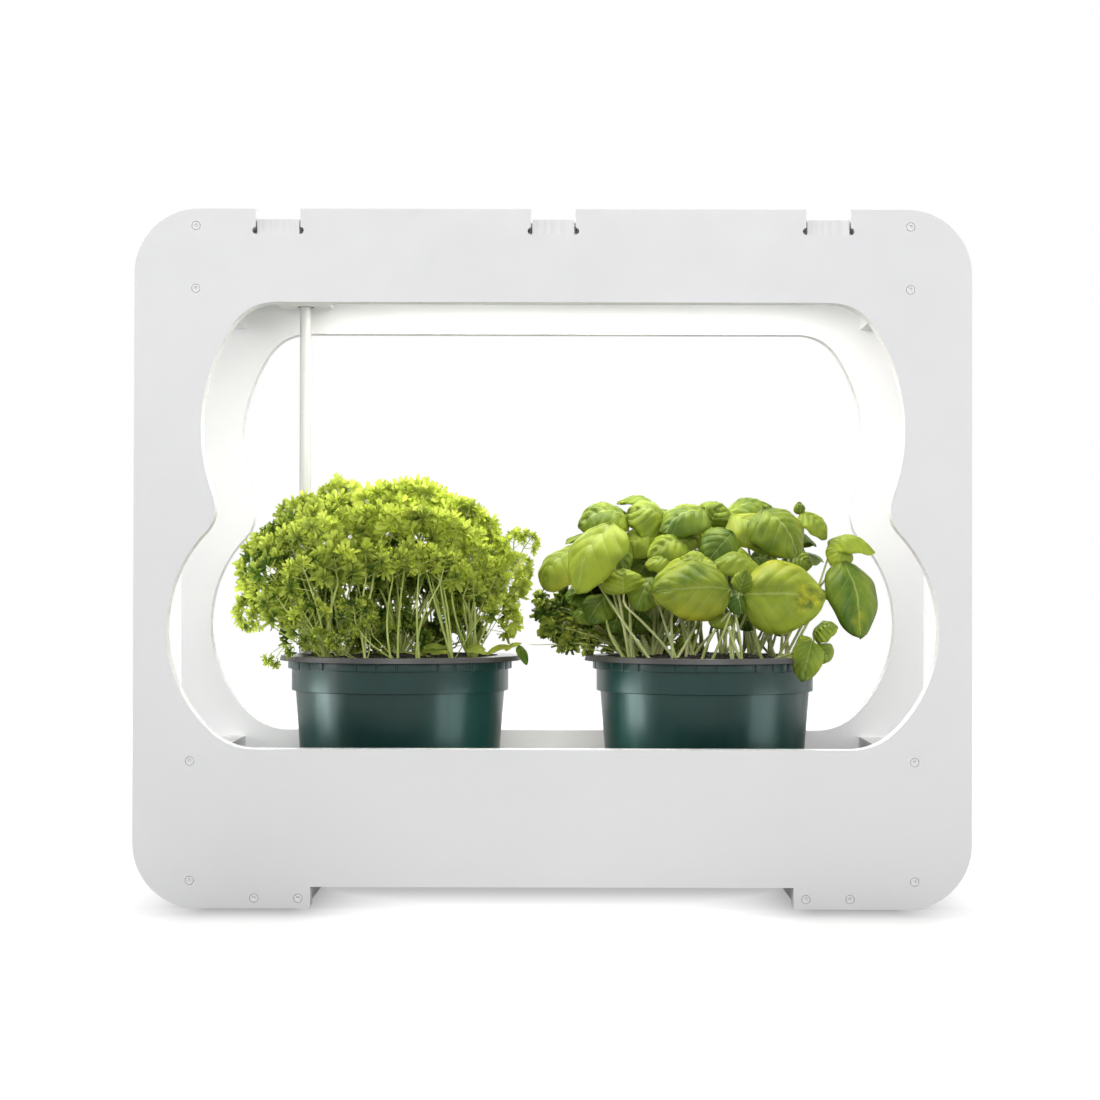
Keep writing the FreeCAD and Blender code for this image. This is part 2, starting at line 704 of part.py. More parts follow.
def cross_pieces():
    """Spacers at the top, end walls of the trough and foot bars, left and right."""
    for word, side in (("left", -1), ("right", 1)):
        cross_block(word + "_upper_spacer", side, SPACER_X, "Sizes.spacer_thickness",
                    "(%s - Sizes.spacer_height)" % SPACER_TOP, "Sizes.spacer_height", SCREWS["upper"])
        cross_block(word + "_end_wall", side, END_WALL_X, "Sizes.end_wall_thickness",
                    "Sizes.foot_height", "(Sizes.end_wall_top - Sizes.foot_height)", SCREWS["lower"])
        cross_block(word + "_foot_bar", side, FOOT_BAR_X, "Sizes.foot_bar_width", "0",
                    "Sizes.foot_height", SCREWS["foot"], lead_channel() if side < 0 else None)


def trough_floor():
    """The floor plate of the trough, on the foot bars, with a hole for the tube."""
    half_x = "(%s - Sizes.floor_gap)" % END_WALL_FACE
    half_y = "(%s - Sizes.floor_gap)" % BOARD_FACE
    plate = block("floor_plate", "2 * %s" % half_x, "2 * %s" % half_y, "Sizes.floor_thickness",
                  negative(half_x), negative(half_y), "Sizes.foot_height")
    hole = rod("floor_hole", "(Sizes.tube_diameter + 2 * Sizes.tube_gap)",
               "(Sizes.floor_thickness + 2 * Sizes.cut_past)",
               negative(FOOT_BAR_X), TUBE_Y, "(Sizes.foot_height - Sizes.cut_past)")
    return keep(without("trough_floor", plate, [hole]), "trough_floor")


def water_tray():
    """The moulded tray in the trough, with a dry standpipe round the tube."""
    body = new_body("water_tray")
    half_x = "(%s - Sizes.tray_gap)" % END_WALL_FACE
    half_y = "(%s - Sizes.tray_gap)" % BOARD_FACE
    outside = new_sketch(body, "tray_outside")
    rectangle(outside, negative(half_x), negative(half_y), half_x, half_y, "Sizes.tray_corner")
    pad(body, "tray_block", outside, "Sizes.tray_height")
    inner = [half + " - Sizes.tray_wall" for half in (half_x, half_y)]
    inside = new_sketch(body, "tray_inside", height="Sizes.tray_wall")
    rectangle(inside, negative(inner[0]), negative(inner[1]), inner[0], inner[1],
              "(Sizes.tray_corner - Sizes.tray_wall)")
    pocket(body, "tray_hollow", inside, backwards=True)
    tube = [(negative(FOOT_BAR_X), TUBE_Y)]
    bore = "(Sizes.tube_diameter + 2 * Sizes.tube_gap)"
    pipe = new_sketch(body, "standpipe_outside")
    circles(pipe, tube, "(%s + 2 * Sizes.standpipe_wall)" % bore)
    pad(body, "standpipe", pipe, "(Sizes.tray_height - Sizes.standpipe_drop)")
    hole = new_sketch(body, "standpipe_inside")
    circles(hole, tube, bore)
    pocket(body, "standpipe_bore", hole, backwards=True)
    move(body, z=FLOOR_TOP)
    return keep(body, "water_tray")


def screw(name, shank_length, axis, angle, x, y, z):
    """A socket head screw; its head's face is at the given place and its shank runs inwards."""
    head = rod(name + "_head", "Sizes.screw_head_diameter", "Sizes.screw_head_height",
               "0", "0", "-Sizes.screw_head_height")
    shank = rod(name + "_shank", "Sizes.screw_shank_diameter", shank_length,
                "0", "0", "(-Sizes.screw_head_height - %s)" % shank_length)
    socket = doc.addObject("Part::Prism", name + "_socket")
    socket.Polygon = 6
    bind(socket, Circumradius="Sizes.hex_diameter / 2", Height="(Sizes.hex_depth + Sizes.cut_past)")
    move(socket, z="-Sizes.hex_depth")
    piece = without(name, joined(name + "_blank", [head, shank]), [socket])
    turn(piece, axis, angle)
    move(piece, x, y, z)
    return piece


def board_screws():
    """The screws of each board, grouped by what they hold."""
    for word, side in (("front", -1), ("rear", 1)):
        for key, places in SCREWS.items():
            name = "%s_%s_screws" % (word, key)
            members = []
            for i, (x, z) in enumerate(both_sides(places)):
                y = HALF_DEPTH if side > 0 else negative(HALF_DEPTH)
                members.append(screw("%s_%d" % (name, i), "Sizes.screw_shank_length",
                                     Vector(1, 0, 0), -90 * side, x, y, z))
            keep(group(name, members), name)


def lid_screws():
    """The screws that hold the lamp and the junction box to the lid."""
    top = "(%s + Sizes.lid_thickness)" % NOTCH_BOTTOM
    for name, places in (("lamp_screws", lamp_screw_places()), ("box_screws", box_screw_places())):
        members = []
        for i, (x, y) in enumerate(places):
            members.append(screw("%s_%d" % (name, i), "Sizes.lid_screw_shank",
                                 Vector(0, 0, 1), 0, x, y, top))
        keep(group(name, members), name)


def junction_box():
    """The box under the lid that takes the tube: open at the top, with two posts and two rails."""
    body = new_body("junction_box")
    outside = new_sketch(body, "box_outside")
    rectangle(outside, BOX_LEFT, BOX_FRONT, BOX_RIGHT, BOX_REAR, "Sizes.box_corner")
    pad(body, "box_block", outside, "Sizes.box_height")
    inside = new_sketch(body, "box_inside", height="Sizes.box_wall")
    rectangle(inside, "(%s + Sizes.box_wall)" % BOX_LEFT, "(%s + Sizes.box_wall)" % BOX_FRONT,
              "(%s - Sizes.box_wall)" % BOX_RIGHT, "(%s - Sizes.box_wall)" % BOX_REAR,
              "(Sizes.box_corner - Sizes.box_wall)")
    pocket(body, "box_hollow", inside, backwards=True)
    posts = new_sketch(body, "box_posts", height="(Sizes.box_wall / 2)")
    reach = "(Sizes.box_post / 2)"
    for x, y in box_screw_places():
        rectangle(posts, "(%s - %s)" % (x, reach), "(%s - %s)" % (y, reach),
                  "(%s + %s)" % (x, reach), "(%s + %s)" % (y, reach))
    pad(body, "box_posts_pad", posts, "(Sizes.box_height - Sizes.box_wall / 2)")
    rails = new_sketch(body, "box_rails", height="(Sizes.box_wall / 2)")
    for offset in ("Sizes.rail_first", "Sizes.rail_second"):
        rectangle(rails, "(%s + Sizes.box_wall / 2)" % BOX_LEFT, "(%s + %s)" % (BOX_FRONT, offset),
                  "(%s - Sizes.box_wall / 2)" % BOX_RIGHT,
                  "(%s + %s + Sizes.rail_width)" % (BOX_FRONT, offset))
    pad(body, "box_rails_pad", rails, "(Sizes.box_wall / 2 + Sizes.circuit_rise)")
    pilots = new_sketch(body, "box_pilots", height="(Sizes.box_height - Sizes.lid_screw_shank)")
    circles(pilots, box_screw_places(), SHANK_HOLE)
    pocket(body, "box_pilot_holes", pilots, backwards=True)
    entry = new_sketch(body, "box_entry")
    circles(entry, [(negative(FOOT_BAR_X), TUBE_Y)], "(2 * %s + 2 * Sizes.screw_hole_gap)" % BUSH_RADIUS)
    pocket(body, "box_entry_hole", entry, "Sizes.box_entry_depth", backwards=True)
    wires = new_sketch(body, "box_wires", "YZ_Plane", "(%s + Sizes.cut_past)" % BOX_RIGHT)
    circles(wires, [(WIRE_Y, "(%s - %s)" % (WIRE_Z, BOX_BOTTOM))], WIRE_HOLE)
    pocket(body, "box_wire_hole", wires, "(Sizes.box_corner + Sizes.cut_past)")
    move(body, z=BOX_BOTTOM)
    return keep(body, "junction_box")


def turned(name, x, y, z, corners):
    """A small turned piece at x, y, z."""
    body = revolved(name, corners)
    move(body, x, y, z)
    return keep(body, name)


def tube_pieces():
    """The conduit tube, its bush in the box, and the plug and socket at its top."""
    place = (negative(FOOT_BAR_X), TUBE_Y)
    tube = rod("tube_outside", "Sizes.tube_diameter", "(%s - Sizes.foot_height)" % TUBE_TOP,
               place[0], place[1], "Sizes.foot_height")
    bore = rod("tube_inside", "(Sizes.tube_diameter - 2 * Sizes.tube_wall)", TUBE_TOP,
               place[0], place[1], "(Sizes.foot_height - Sizes.cut_past)")
    keep(without("conduit_tube", tube, [bore]), "conduit_tube")
    inner = "(Sizes.tube_diameter / 2 + Sizes.tube_gap)"
    flange = "(%s + Sizes.bush_flange_reach)" % BUSH_RADIUS
    turned("conduit_bush", place[0], place[1], BOX_BOTTOM, (
        (inner, "0"), (BUSH_RADIUS, "0"), (BUSH_RADIUS, "Sizes.box_wall"), (flange, "Sizes.box_wall"),
        (flange, "(Sizes.box_wall + Sizes.bush_flange_height)"),
        (inner, "(Sizes.box_wall + Sizes.bush_flange_height)")))
    stem = "(Sizes.tube_diameter / 2 - Sizes.tube_wall - Sizes.plug_stem_gap)"
    lead = "(Sizes.lead_diameter / 2 + Sizes.plug_stem_gap)"
    shoulder = "(Sizes.tube_diameter / 2 - Sizes.plug_edge)"
    barrel = "(Sizes.plug_barrel_diameter / 2)"
    turned("supply_plug", place[0], place[1], TUBE_TOP, (
        (lead, "-Sizes.plug_stem"), (stem, "-Sizes.plug_stem"), (stem, "0"),
        (shoulder, "0"), (shoulder, "Sizes.plug_body"),
        (barrel, "Sizes.plug_body"), (barrel, "(Sizes.plug_body + Sizes.plug_barrel)"),
        ("0", "(Sizes.plug_body + Sizes.plug_barrel)"), ("0", "-Sizes.plug_stem / 2"),
        (lead, "-Sizes.plug_stem / 2")))
    bore = "(%s + Sizes.socket_gap)" % barrel
    mouth = "(%s + Sizes.plug_body + Sizes.socket_gap)" % TUBE_TOP
    height = "(%s - %s)" % (NOTCH_BOTTOM, mouth)
    end = "(Sizes.plug_barrel + Sizes.plug_end_gap)"
    outer = "(Sizes.socket_diameter / 2)"
    turned("supply_socket", place[0], place[1], mouth, (
        (bore, "0"), (outer, "0"), (outer, height), ("0", height), ("0", end), (bore, end)))


def supply_lead():
    """The lead inside the foot bar and the tube: a level run, one bend and an upright run."""
    x = negative(FOOT_BAR_X)
    bend_y = "(%s + Sizes.lead_bend)" % TUBE_Y
    bend_z = "(Sizes.lead_rise + Sizes.lead_bend)"
    start = "(%s + Sizes.board_thickness / 2)" % BOARD_FACE
    level = rod("lead_level", "Sizes.lead_diameter", "(%s - %s)" % (start, bend_y), x, bend_y,
                "Sizes.lead_rise", "Y")
    upright = rod("lead_upright", "Sizes.lead_diameter",
                  "(%s - Sizes.plug_stem / 2 - %s)" % (TUBE_TOP, bend_z), x, TUBE_Y, bend_z)
    bend = doc.addObject("Part::Torus", "lead_bend")
    bind(bend, Radius1="Sizes.lead_bend", Radius2="Sizes.lead_diameter / 2")
    bend.Angle3 = 90
    facing = Rotation(Vector(0, -1, 0), Vector(0, 0, -1), Vector(1, 0, 0), "XYZ")
    bend.Placement = Placement(Vector(), facing)
    move(bend, x, bend_y, bend_z)
    return keep(joined("supply_lead", [level, bend, upright]), "supply_lead")


def cord_gland():
    """The bush in the rear foot where the supply cord would leave."""
    body_radius = "(Sizes.gland_body_diameter / 2)"
    flange_radius = "(Sizes.gland_flange_diameter / 2)"
    bore = "(Sizes.gland_bore / 2)"
    body = revolved("cord_gland", (
        (bore, "-Sizes.board_thickness"), (body_radius, "-Sizes.board_thickness"),
        (body_radius, "-Sizes.gland_flange_height"), (flange_radius, "-Sizes.gland_flange_height"),
        (flange_radius, "0"), (bore, "0")))
    turn(body, Vector(1, 0, 0), -90)
    move(body, negative(FOOT_BAR_X), HALF_DEPTH, "Sizes.lead_rise")
    return keep(body, "cord_gland")


def driver_board():
    """The driver's circuit board with its transformer, capacitor and chip."""
    left = "(%s + Sizes.box_width / 2 - Sizes.circuit_length / 2)" % BOX_LEFT
    front = "(%s + Sizes.box_wall + Sizes.box_post + Sizes.circuit_gap)" % BOX_FRONT
    bottom = "(%s + Sizes.circuit_rise)" % BOX_FLOOR
    top = "(%s + Sizes.circuit_thickness)" % bottom
    sheet_piece = block("circuit_sheet", "Sizes.circuit_length", "Sizes.circuit_width",
                        "Sizes.circuit_thickness", left, front, bottom)
    coil = block("circuit_coil", "Sizes.coil_length", "Sizes.coil_width", "Sizes.coil_height",
                 "(%s + Sizes.coil_x)" % left, "(%s + Sizes.coil_y)" % front, top)
    can = rod("circuit_can", "Sizes.can_diameter", "Sizes.can_height",
              "(%s + Sizes.can_x)" % left, "(%s + Sizes.can_y)" % front, top)
    chip = block("circuit_chip", "Sizes.chip_length", "Sizes.chip_width", "Sizes.chip_thickness",
                 "(%s + Sizes.chip_x)" % left, "(%s + Sizes.chip_y)" % front, top)
    return keep(joined("driver_board", [sheet_piece, coil, can, chip]), "driver_board")


def lamp_housing():
    """The lamp's channel: closed above, with two lips below that carry the diffuser."""
    left = "(%s + Sizes.lamp_cap)" % LAMP_LEFT
    length = "(%s - %s - 2 * Sizes.lamp_cap)" % (LAMP_RIGHT, LAMP_LEFT)
    half = "(Sizes.lamp_width / 2)"
    outside = block("lamp_outside", length, "Sizes.lamp_width", "Sizes.lamp_height",
                    left, negative(half), LAMP_BOTTOM)
    start = "(%s - Sizes.cut_past)" % left
    long = "(%s + 2 * Sizes.cut_past)" % length
    through = "(Sizes.lamp_wall + 2 * Sizes.cut_past)"
    hollow = block("lamp_hollow", long, "(Sizes.lamp_width - 2 * Sizes.lamp_wall)",
                   "(Sizes.lamp_height - 2 * Sizes.lamp_wall)", start,
                   "(Sizes.lamp_wall - %s)" % half, "(%s + Sizes.lamp_wall)" % LAMP_BOTTOM)
    reach = "(Sizes.lamp_wall + Sizes.lamp_lip)"
    mouth = block("lamp_mouth", long, "(Sizes.lamp_width - 2 * %s)" % reach, through,
                  start, "(%s - %s)" % (reach, half), "(%s - Sizes.cut_past)" % LAMP_BOTTOM)
    holes = [rod("lamp_screw_hole_%d" % i, SHANK_HOLE, through, x, y,
                 "(%s - Sizes.lamp_wall - Sizes.cut_past)" % NOTCH_BOTTOM)
             for i, (x, y) in enumerate(lamp_screw_places())]
    return keep(without("lamp_housing", outside, [hollow, mouth] + holes), "lamp_housing")


def lamp_caps():
    """The lamp's two end caps; the left one passes the wires."""
    half = "(Sizes.lamp_width / 2)"
    left = block("left_cap_block", "Sizes.lamp_cap", "Sizes.lamp_width", "Sizes.lamp_height",
                 LAMP_LEFT, negative(half), LAMP_BOTTOM)
    hole = rod("left_cap_hole", WIRE_HOLE, "(Sizes.lamp_cap + 2 * Sizes.cut_past)",
               "(%s - Sizes.cut_past)" % LAMP_LEFT, WIRE_Y, WIRE_Z, "X")
    keep(without("lamp_left_cap", left, [hole]), "lamp_left_cap")
    right = block("right_cap_block", "Sizes.lamp_cap", "Sizes.lamp_width", "Sizes.lamp_height",
                  "(%s - Sizes.lamp_cap)" % LAMP_RIGHT, negative(half), LAMP_BOTTOM)
    keep(right, "lamp_right_cap")


def lamp_insides():
    """The LED board under the channel's web, its LEDs, the diffuser on the lips and the wires."""
    left = "(%s + Sizes.lamp_cap + Sizes.lamp_gap)" % LAMP_LEFT
    length = "(%s - %s - 2 * Sizes.lamp_cap - 2 * Sizes.lamp_gap)" % (LAMP_RIGHT, LAMP_LEFT)
    width = "(Sizes.lamp_width - 2 * Sizes.lamp_wall - 2 * Sizes.lamp_gap)"
    keep(block("led_board", length, width, "Sizes.led_board_thickness", left, "-%s / 2" % width,
               LED_BOARD_BOTTOM), "led_board")
    keep(block("lamp_diffuser", length, width, "Sizes.diffuser_thickness", left, "-%s / 2" % width,
               "(%s + Sizes.lamp_wall)" % LAMP_BOTTOM), "lamp_diffuser")
    leds = []
    for row in range(LED_ROWS):
        for i in range(LEDS_IN_ROW):
            x = "(%s + %s * %.5f - Sizes.led_length / 2)" % (left, length, (i + 0.5) / LEDS_IN_ROW)
            across = (row - (LED_ROWS - 1) / 2) / (LED_ROWS + 1)
            y = "(%s * %.5f - Sizes.led_length / 2)" % (width, across)
            leds.append(block("led_%d_%d" % (row, i), "Sizes.led_length", "Sizes.led_length",
                              "Sizes.led_thickness", x, y, "(%s - Sizes.led_thickness)" % LED_BOARD_BOTTOM))
    keep(group("led_chips", leds), "led_chips")
    start = "(%s - Sizes.box_wall - Sizes.wire_in_box)" % BOX_RIGHT
    wires = [rod("lamp_wire_%d" % i, "Sizes.wire_diameter",
                 "(%s + Sizes.lamp_cap + Sizes.wire_in_lamp - %s)" % (LAMP_LEFT, start), start,
                 "(%s %s Sizes.wire_spacing / 2)" % (WIRE_Y, sign), WIRE_Z, "X")
             for i, sign in enumerate("+-")]
    keep(group("lamp_wires", wires), "lamp_wires")


def pot(name, x):
    """A green pot: a tapered body, a wider band and a wider collar at the rim."""
    band_top = "(Sizes.pot_body_height + Sizes.pot_band_height)"
    body, band, collar = ["(Sizes.pot_%s_diameter / 2)" % part for part in ("body", "band", "collar")]
    inner_band = "(%s - Sizes.pot_wall)" % band
    shelf = "(Sizes.pot_body_height + Sizes.pot_wall)"
    return turned(name, x, "0", TRAY_FLOOR, (
        ("0", "0"), ("(Sizes.pot_bottom_diameter / 2)", "0"), (body, "Sizes.pot_body_height"),
        (band, "Sizes.pot_body_height"), (band, band_top), (collar, band_top), (collar, POT_TOP),
        (inner_band, POT_TOP), (inner_band, shelf), ("(%s - Sizes.pot_wall)" % body, shelf),
        ("(%s + %s * Sizes.pot_floor)" % (POT_INSIDE, POT_SLOPE), "Sizes.pot_floor"),
        ("0", "Sizes.pot_floor")))


def pot_insert(name, x):
    """A dark insert whose flange rests on the pot's rim, with drain holes in its floor."""
    flange = "(Sizes.insert_flange_diameter / 2)"
    flange_top = "(%s + Sizes.insert_flange_height)" % POT_TOP
    inner_top = "(%s - Sizes.insert_wall)" % INSERT_TOP_RADIUS
    body = revolved(name, (
        ("0", "Sizes.insert_rise"), (INSERT_BOTTOM_RADIUS, "Sizes.insert_rise"),
        (INSERT_TOP_RADIUS, "Sizes.pot_body_height"), (INSERT_TOP_RADIUS, POT_TOP), (flange, POT_TOP),
        ("(%s - Sizes.insert_flange_slope)" % flange, flange_top), (inner_top, flange_top),
        (inner_top, "Sizes.pot_body_height"),
        ("(%s - Sizes.insert_wall)" % INSERT_BOTTOM_RADIUS, INSERT_FLOOR), ("0", INSERT_FLOOR)))
    drain = new_sketch(body, name + "_drain", height="(Sizes.insert_rise - Sizes.cut_past)")
    circles(drain, [("(Sizes.drain_circle / 2)", "0")], "Sizes.drain_diameter")
    cut = pocket(body, name + "_drain_cut", drain, "(Sizes.insert_wall + 2 * Sizes.cut_past)", backwards=True)
    ring = body.newObject("PartDesign::PolarPattern", name + "_drains")
    ring.Originals = [cut]
    ring.Axis = (drain, ["N_Axis"])
    ring.Angle = 360
    ring.Occurrences = DRAIN_COUNT
    body.Tip = ring
    doc.recompute()
    move(body, x, "0", TRAY_FLOOR)
    return keep(body, name)


def soil(name, x):
    """The soil in an insert, slightly heaped."""
    top_radius = "(%s - Sizes.insert_wall - Sizes.soil_gap)" % INSERT_TOP_RADIUS
    bottom_radius = "(%s - Sizes.insert_wall - Sizes.soil_gap)" % INSERT_BOTTOM_RADIUS
    edge = "(%s - Sizes.soil_edge_drop)" % POT_TOP
    return turned(name, x, "0", TRAY_FLOOR, (
        ("0", INSERT_FLOOR), (bottom_radius, INSERT_FLOOR), (top_radius, "Sizes.pot_body_height"),
        (top_radius, edge),
        ("(%s * %.2f)" % (top_radius, SOIL_SHOULDER), "(%s + Sizes.soil_shoulder_rise)" % edge),
        ("(%s * %.2f)" % (top_radius, SOIL_CROWN), SOIL_TOP), ("0", SOIL_TOP)))


def plant(word, x):
    """One herb: a bundle of stems that carries a rounded mass of leaves."""
    rise, height, length, depth = ["Sizes.%s_%s" % (word, part)
                                   for part in ("rise", "height", "length", "depth")]
    soil_top = "(%s + %s)" % (TRAY_FLOOR, SOIL_TOP)
    middle = "(%s + %s + %s / 2)" % (soil_top, rise, height)
    leaves = leaf_mass(word + "_leaves", length, depth, height, x, middle)
    stems = doc.addObject("Part::Cone", word + "_bundle")
    bind(stems, Radius1="Sizes.stem_bundle_bottom / 2", Radius2="Sizes.stem_bundle_top / 2",
         Height="(%s + %s / 2)" % (rise, height))
    move(stems, x, "0", soil_top)
    tool = leaf_mass(word + "_leaves_tool", length, depth, height, x, middle)
    keep(without(word + "_stems", stems, [tool]), word + "_stems")
    keep(leaves, word + "_leaves")


def leaf_mass(name, length, depth, height, x, z):
    """A rounded mass of leaves about a middle point."""
    piece = doc.addObject("Part::Ellipsoid", name)
    bind(piece, Radius1="(%s) / 2" % height, Radius2="(%s) / 2" % length, Radius3="(%s) / 2" % depth)
    piece.Angle1 = -90
    piece.Angle2 = 90
    move(piece, x, "0", z)
    return piece


def potted_herbs():
    """Both pots with their inserts, soil and plants."""
    for word, herb, x in (("left", "parsley", negative(POT_X)), ("right", "basil", POT_X)):
        pot(word + "_pot", x)
        pot_insert(word + "_pot_insert", x)
        soil(word + "_soil", x)
        plant(herb, x)


def check_and_write():
    """Check every object and write each sub-part to its own file."""
    doc.recompute()
    for piece in doc.Objects:
        if "Invalid" in piece.State or "Error" in piece.State:
            raise ValueError("%s is %s" % (piece.Name, piece.State))
    os.makedirs("parts", exist_ok=True)
    for piece in pieces:
        if piece.Shape.isNull() or not piece.Shape.isValid() or not piece.Shape.Solids:
            raise ValueError("%s has no valid solid" % piece.Label)
    for piece in pieces:
        piece.Shape.exportStep("parts/%s.step" % piece.Label)
        print("%s: %d solids, %.1f mm3" % (piece.Label, len(piece.Shape.Solids), piece.Shape.Volume))


board("front_panel", -1)
board("rear_panel", 1)
top_lid()
cross_pieces()
trough_floor()
water_tray()
board_screws()
lid_screws()
junction_box()
tube_pieces()
supply_lead()
cord_gland()
driver_board()
lamp_housing()
lamp_caps()
lamp_insides()
potted_herbs()
check_and_write()
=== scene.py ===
import json
import math
import random

import bmesh
import bpy
from mathutils import Matrix, Vector, noise


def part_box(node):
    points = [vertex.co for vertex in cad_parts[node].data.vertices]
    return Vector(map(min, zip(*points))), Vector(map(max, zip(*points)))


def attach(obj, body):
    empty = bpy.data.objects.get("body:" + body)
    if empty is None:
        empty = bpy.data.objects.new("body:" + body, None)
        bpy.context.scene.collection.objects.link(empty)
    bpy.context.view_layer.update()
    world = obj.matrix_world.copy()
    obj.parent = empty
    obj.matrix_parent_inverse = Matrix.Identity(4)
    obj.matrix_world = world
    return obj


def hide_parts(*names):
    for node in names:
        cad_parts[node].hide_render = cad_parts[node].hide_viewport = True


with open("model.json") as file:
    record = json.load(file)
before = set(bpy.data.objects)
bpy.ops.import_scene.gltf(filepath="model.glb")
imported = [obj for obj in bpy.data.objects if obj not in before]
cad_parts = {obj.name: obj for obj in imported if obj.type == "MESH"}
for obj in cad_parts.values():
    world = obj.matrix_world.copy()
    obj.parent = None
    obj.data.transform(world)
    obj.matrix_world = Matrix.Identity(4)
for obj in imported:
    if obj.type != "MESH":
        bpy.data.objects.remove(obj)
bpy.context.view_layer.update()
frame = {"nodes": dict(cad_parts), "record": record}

# A countertop herb garden: finishes for the CAD pieces, then the pots, soil, parsley and basil.
# Metres, +Z up, front at -Y, origin under the middle.

MM = 0.001

# The photograph's camera: where it stands, and its level line and middle in the 1100 pixel frame.
FRAME_PIXELS = 1100
CAMERA_PLACE = Vector((0.0, -1.559, 0.208))
LEVEL_PIXEL = Vector((552.6, 579.2))
FOCAL_PIXELS = 2306.0
CAMERA_PITCH = 90.7255
CAMERA_ROLL = 0.13
CAMERA_TURN = 0.065
SENSOR_WIDTH = 36.0

BODY_LEFT = "left_planting"
BODY_RIGHT = "right_planting"


def seen(px, py, depth=0.0):
    """The point that the camera sees at a pixel, depth mm behind the object's middle plane."""
    distance = depth * MM - CAMERA_PLACE.y
    across = (px - LEVEL_PIXEL.x) * distance / FOCAL_PIXELS
    up = (LEVEL_PIXEL.y - py) * distance / FOCAL_PIXELS
    return Vector((across, depth * MM, CAMERA_PLACE.z + up))


# Nodes of materials.

MIX_A = 6
MIX_B = 7
MIX_RESULT = 2


class Nodes:
    """The nodes of a material or of the world, around its main shader."""

    def __init__(self, owner, main):
        owner.use_nodes = True
        self.owner = owner
        self.tree = owner.node_tree
        self.shader = self.tree.nodes[main]

    def new(self, kind):
        """A new node."""
        return self.tree.nodes.new("ShaderNode" + kind)

    def feed(self, socket, value):
        """Give an input a number, a colour or another node's output."""
        if isinstance(value, bpy.types.NodeSocket):
            self.tree.links.new(value, socket)
        elif isinstance(value, tuple):
            socket.default_value = (*value, 1.0)
        else:
            socket.default_value = value

    def coordinate(self, kind):
        """Where a point is, or which way it faces."""
        return self.new("TexCoord").outputs[kind]

    def split(self, vector):
        """A vector's parts, named by their axes."""
        node = self.new("SeparateXYZ")
        self.feed(node.inputs["Vector"], vector)
        return node.outputs

    def noise(self, scale, detail=3.0, stretch=(1.0, 1.0, 1.0)):
        """Noise on object coordinates; a scale of 1000 has grains of about a millimetre."""
        mapping = self.new("Mapping")
        mapping.inputs["Scale"].default_value = stretch
        self.feed(mapping.inputs["Vector"], self.coordinate("Object"))
        pattern = self.new("TexNoise")
        self.feed(pattern.inputs["Vector"], mapping.outputs["Vector"])
        pattern.inputs["Scale"].default_value = scale
        pattern.inputs["Detail"].default_value = detail
        return pattern.outputs["Fac"]

    def between(self, factor, low, high):
        """A colour between two others."""
        mix = self.new("Mix")
        mix.data_type = "RGBA"
        self.feed(mix.inputs[0], factor)
        self.feed(mix.inputs[MIX_A], low)
        self.feed(mix.inputs[MIX_B], high)
        return mix.outputs[MIX_RESULT]

    def ranged(self, source, low, high, out_low=0.0, out_high=1.0):
        """A value mapped from one range to another, held at the ends."""
        node = self.new("MapRange")
        for socket, value in zip(node.inputs, (source, low, high, out_low, out_high)):
            self.feed(socket, value)
        return node.outputs["Result"]

    def calculated(self, operation, first, second=0.0):
        """The result of one operation on one or two values."""
        node = self.new("Math")
        node.operation = operation
        self.feed(node.inputs[0], first)
        self.feed(node.inputs[1], second)
        return node.outputs["Value"]

    def times(self, first, second):
        """Two values multiplied."""
        return self.calculated("MULTIPLY", first, second)

    def plus(self, first, second):
        """Two values added."""
        return self.calculated("ADD", first, second)

    def minus(self, first, second):
        """The second value taken from the first."""
        return self.calculated("SUBTRACT", first, second)

    def larger(self, first, second):
        """The larger of two values."""
        return self.calculated("MAXIMUM", first, second)

    def paint(self, color):
        """Base colour."""
        self.feed(self.shader.inputs["Base Color"], color)

    def shade(self, factor, low, high):
        """Base colour between two."""
        self.paint(self.between(factor, low, high))

    def roughen(self, factor, low, high):
        """Roughness between two values."""
        self.feed(self.shader.inputs["Roughness"], self.ranged(factor, 0.3, 0.7, low, high))

    def bump(self, source, depth):
        """Relief of a given depth in mm."""
        node = self.new("Bump")
        node.inputs["Distance"].default_value = depth * MM
        self.feed(node.inputs["Height"], source)
        self.feed(self.shader.inputs["Normal"], node.outputs["Normal"])

    def join(self, kind, other):
        """Show the main shader and another through a joining node."""
        node = self.new(kind)
        self.feed(node.inputs[-2], self.shader.outputs[0])
        self.feed(node.inputs[-1], other.outputs[0])
        self.feed(self.tree.nodes["Material Output"].inputs["Surface"], node.outputs[0])
        return node


def start_material(name, color, roughness, **sockets):
    """A material's nodes; its shader's sockets are named with _ for a space."""
    nodes = Nodes(bpy.data.materials.new(name), "Principled BSDF")
    nodes.paint(color)
    for socket, value in {"Roughness": roughness, **sockets}.items():
        nodes.feed(nodes.shader.inputs[socket.replace("_", " ")], value)
    return nodes


def scaled(color, factor):
    """A colour made lighter or darker."""
    return tuple(min(1.0, part * factor) for part in color)


# Finishes of the CAD pieces.

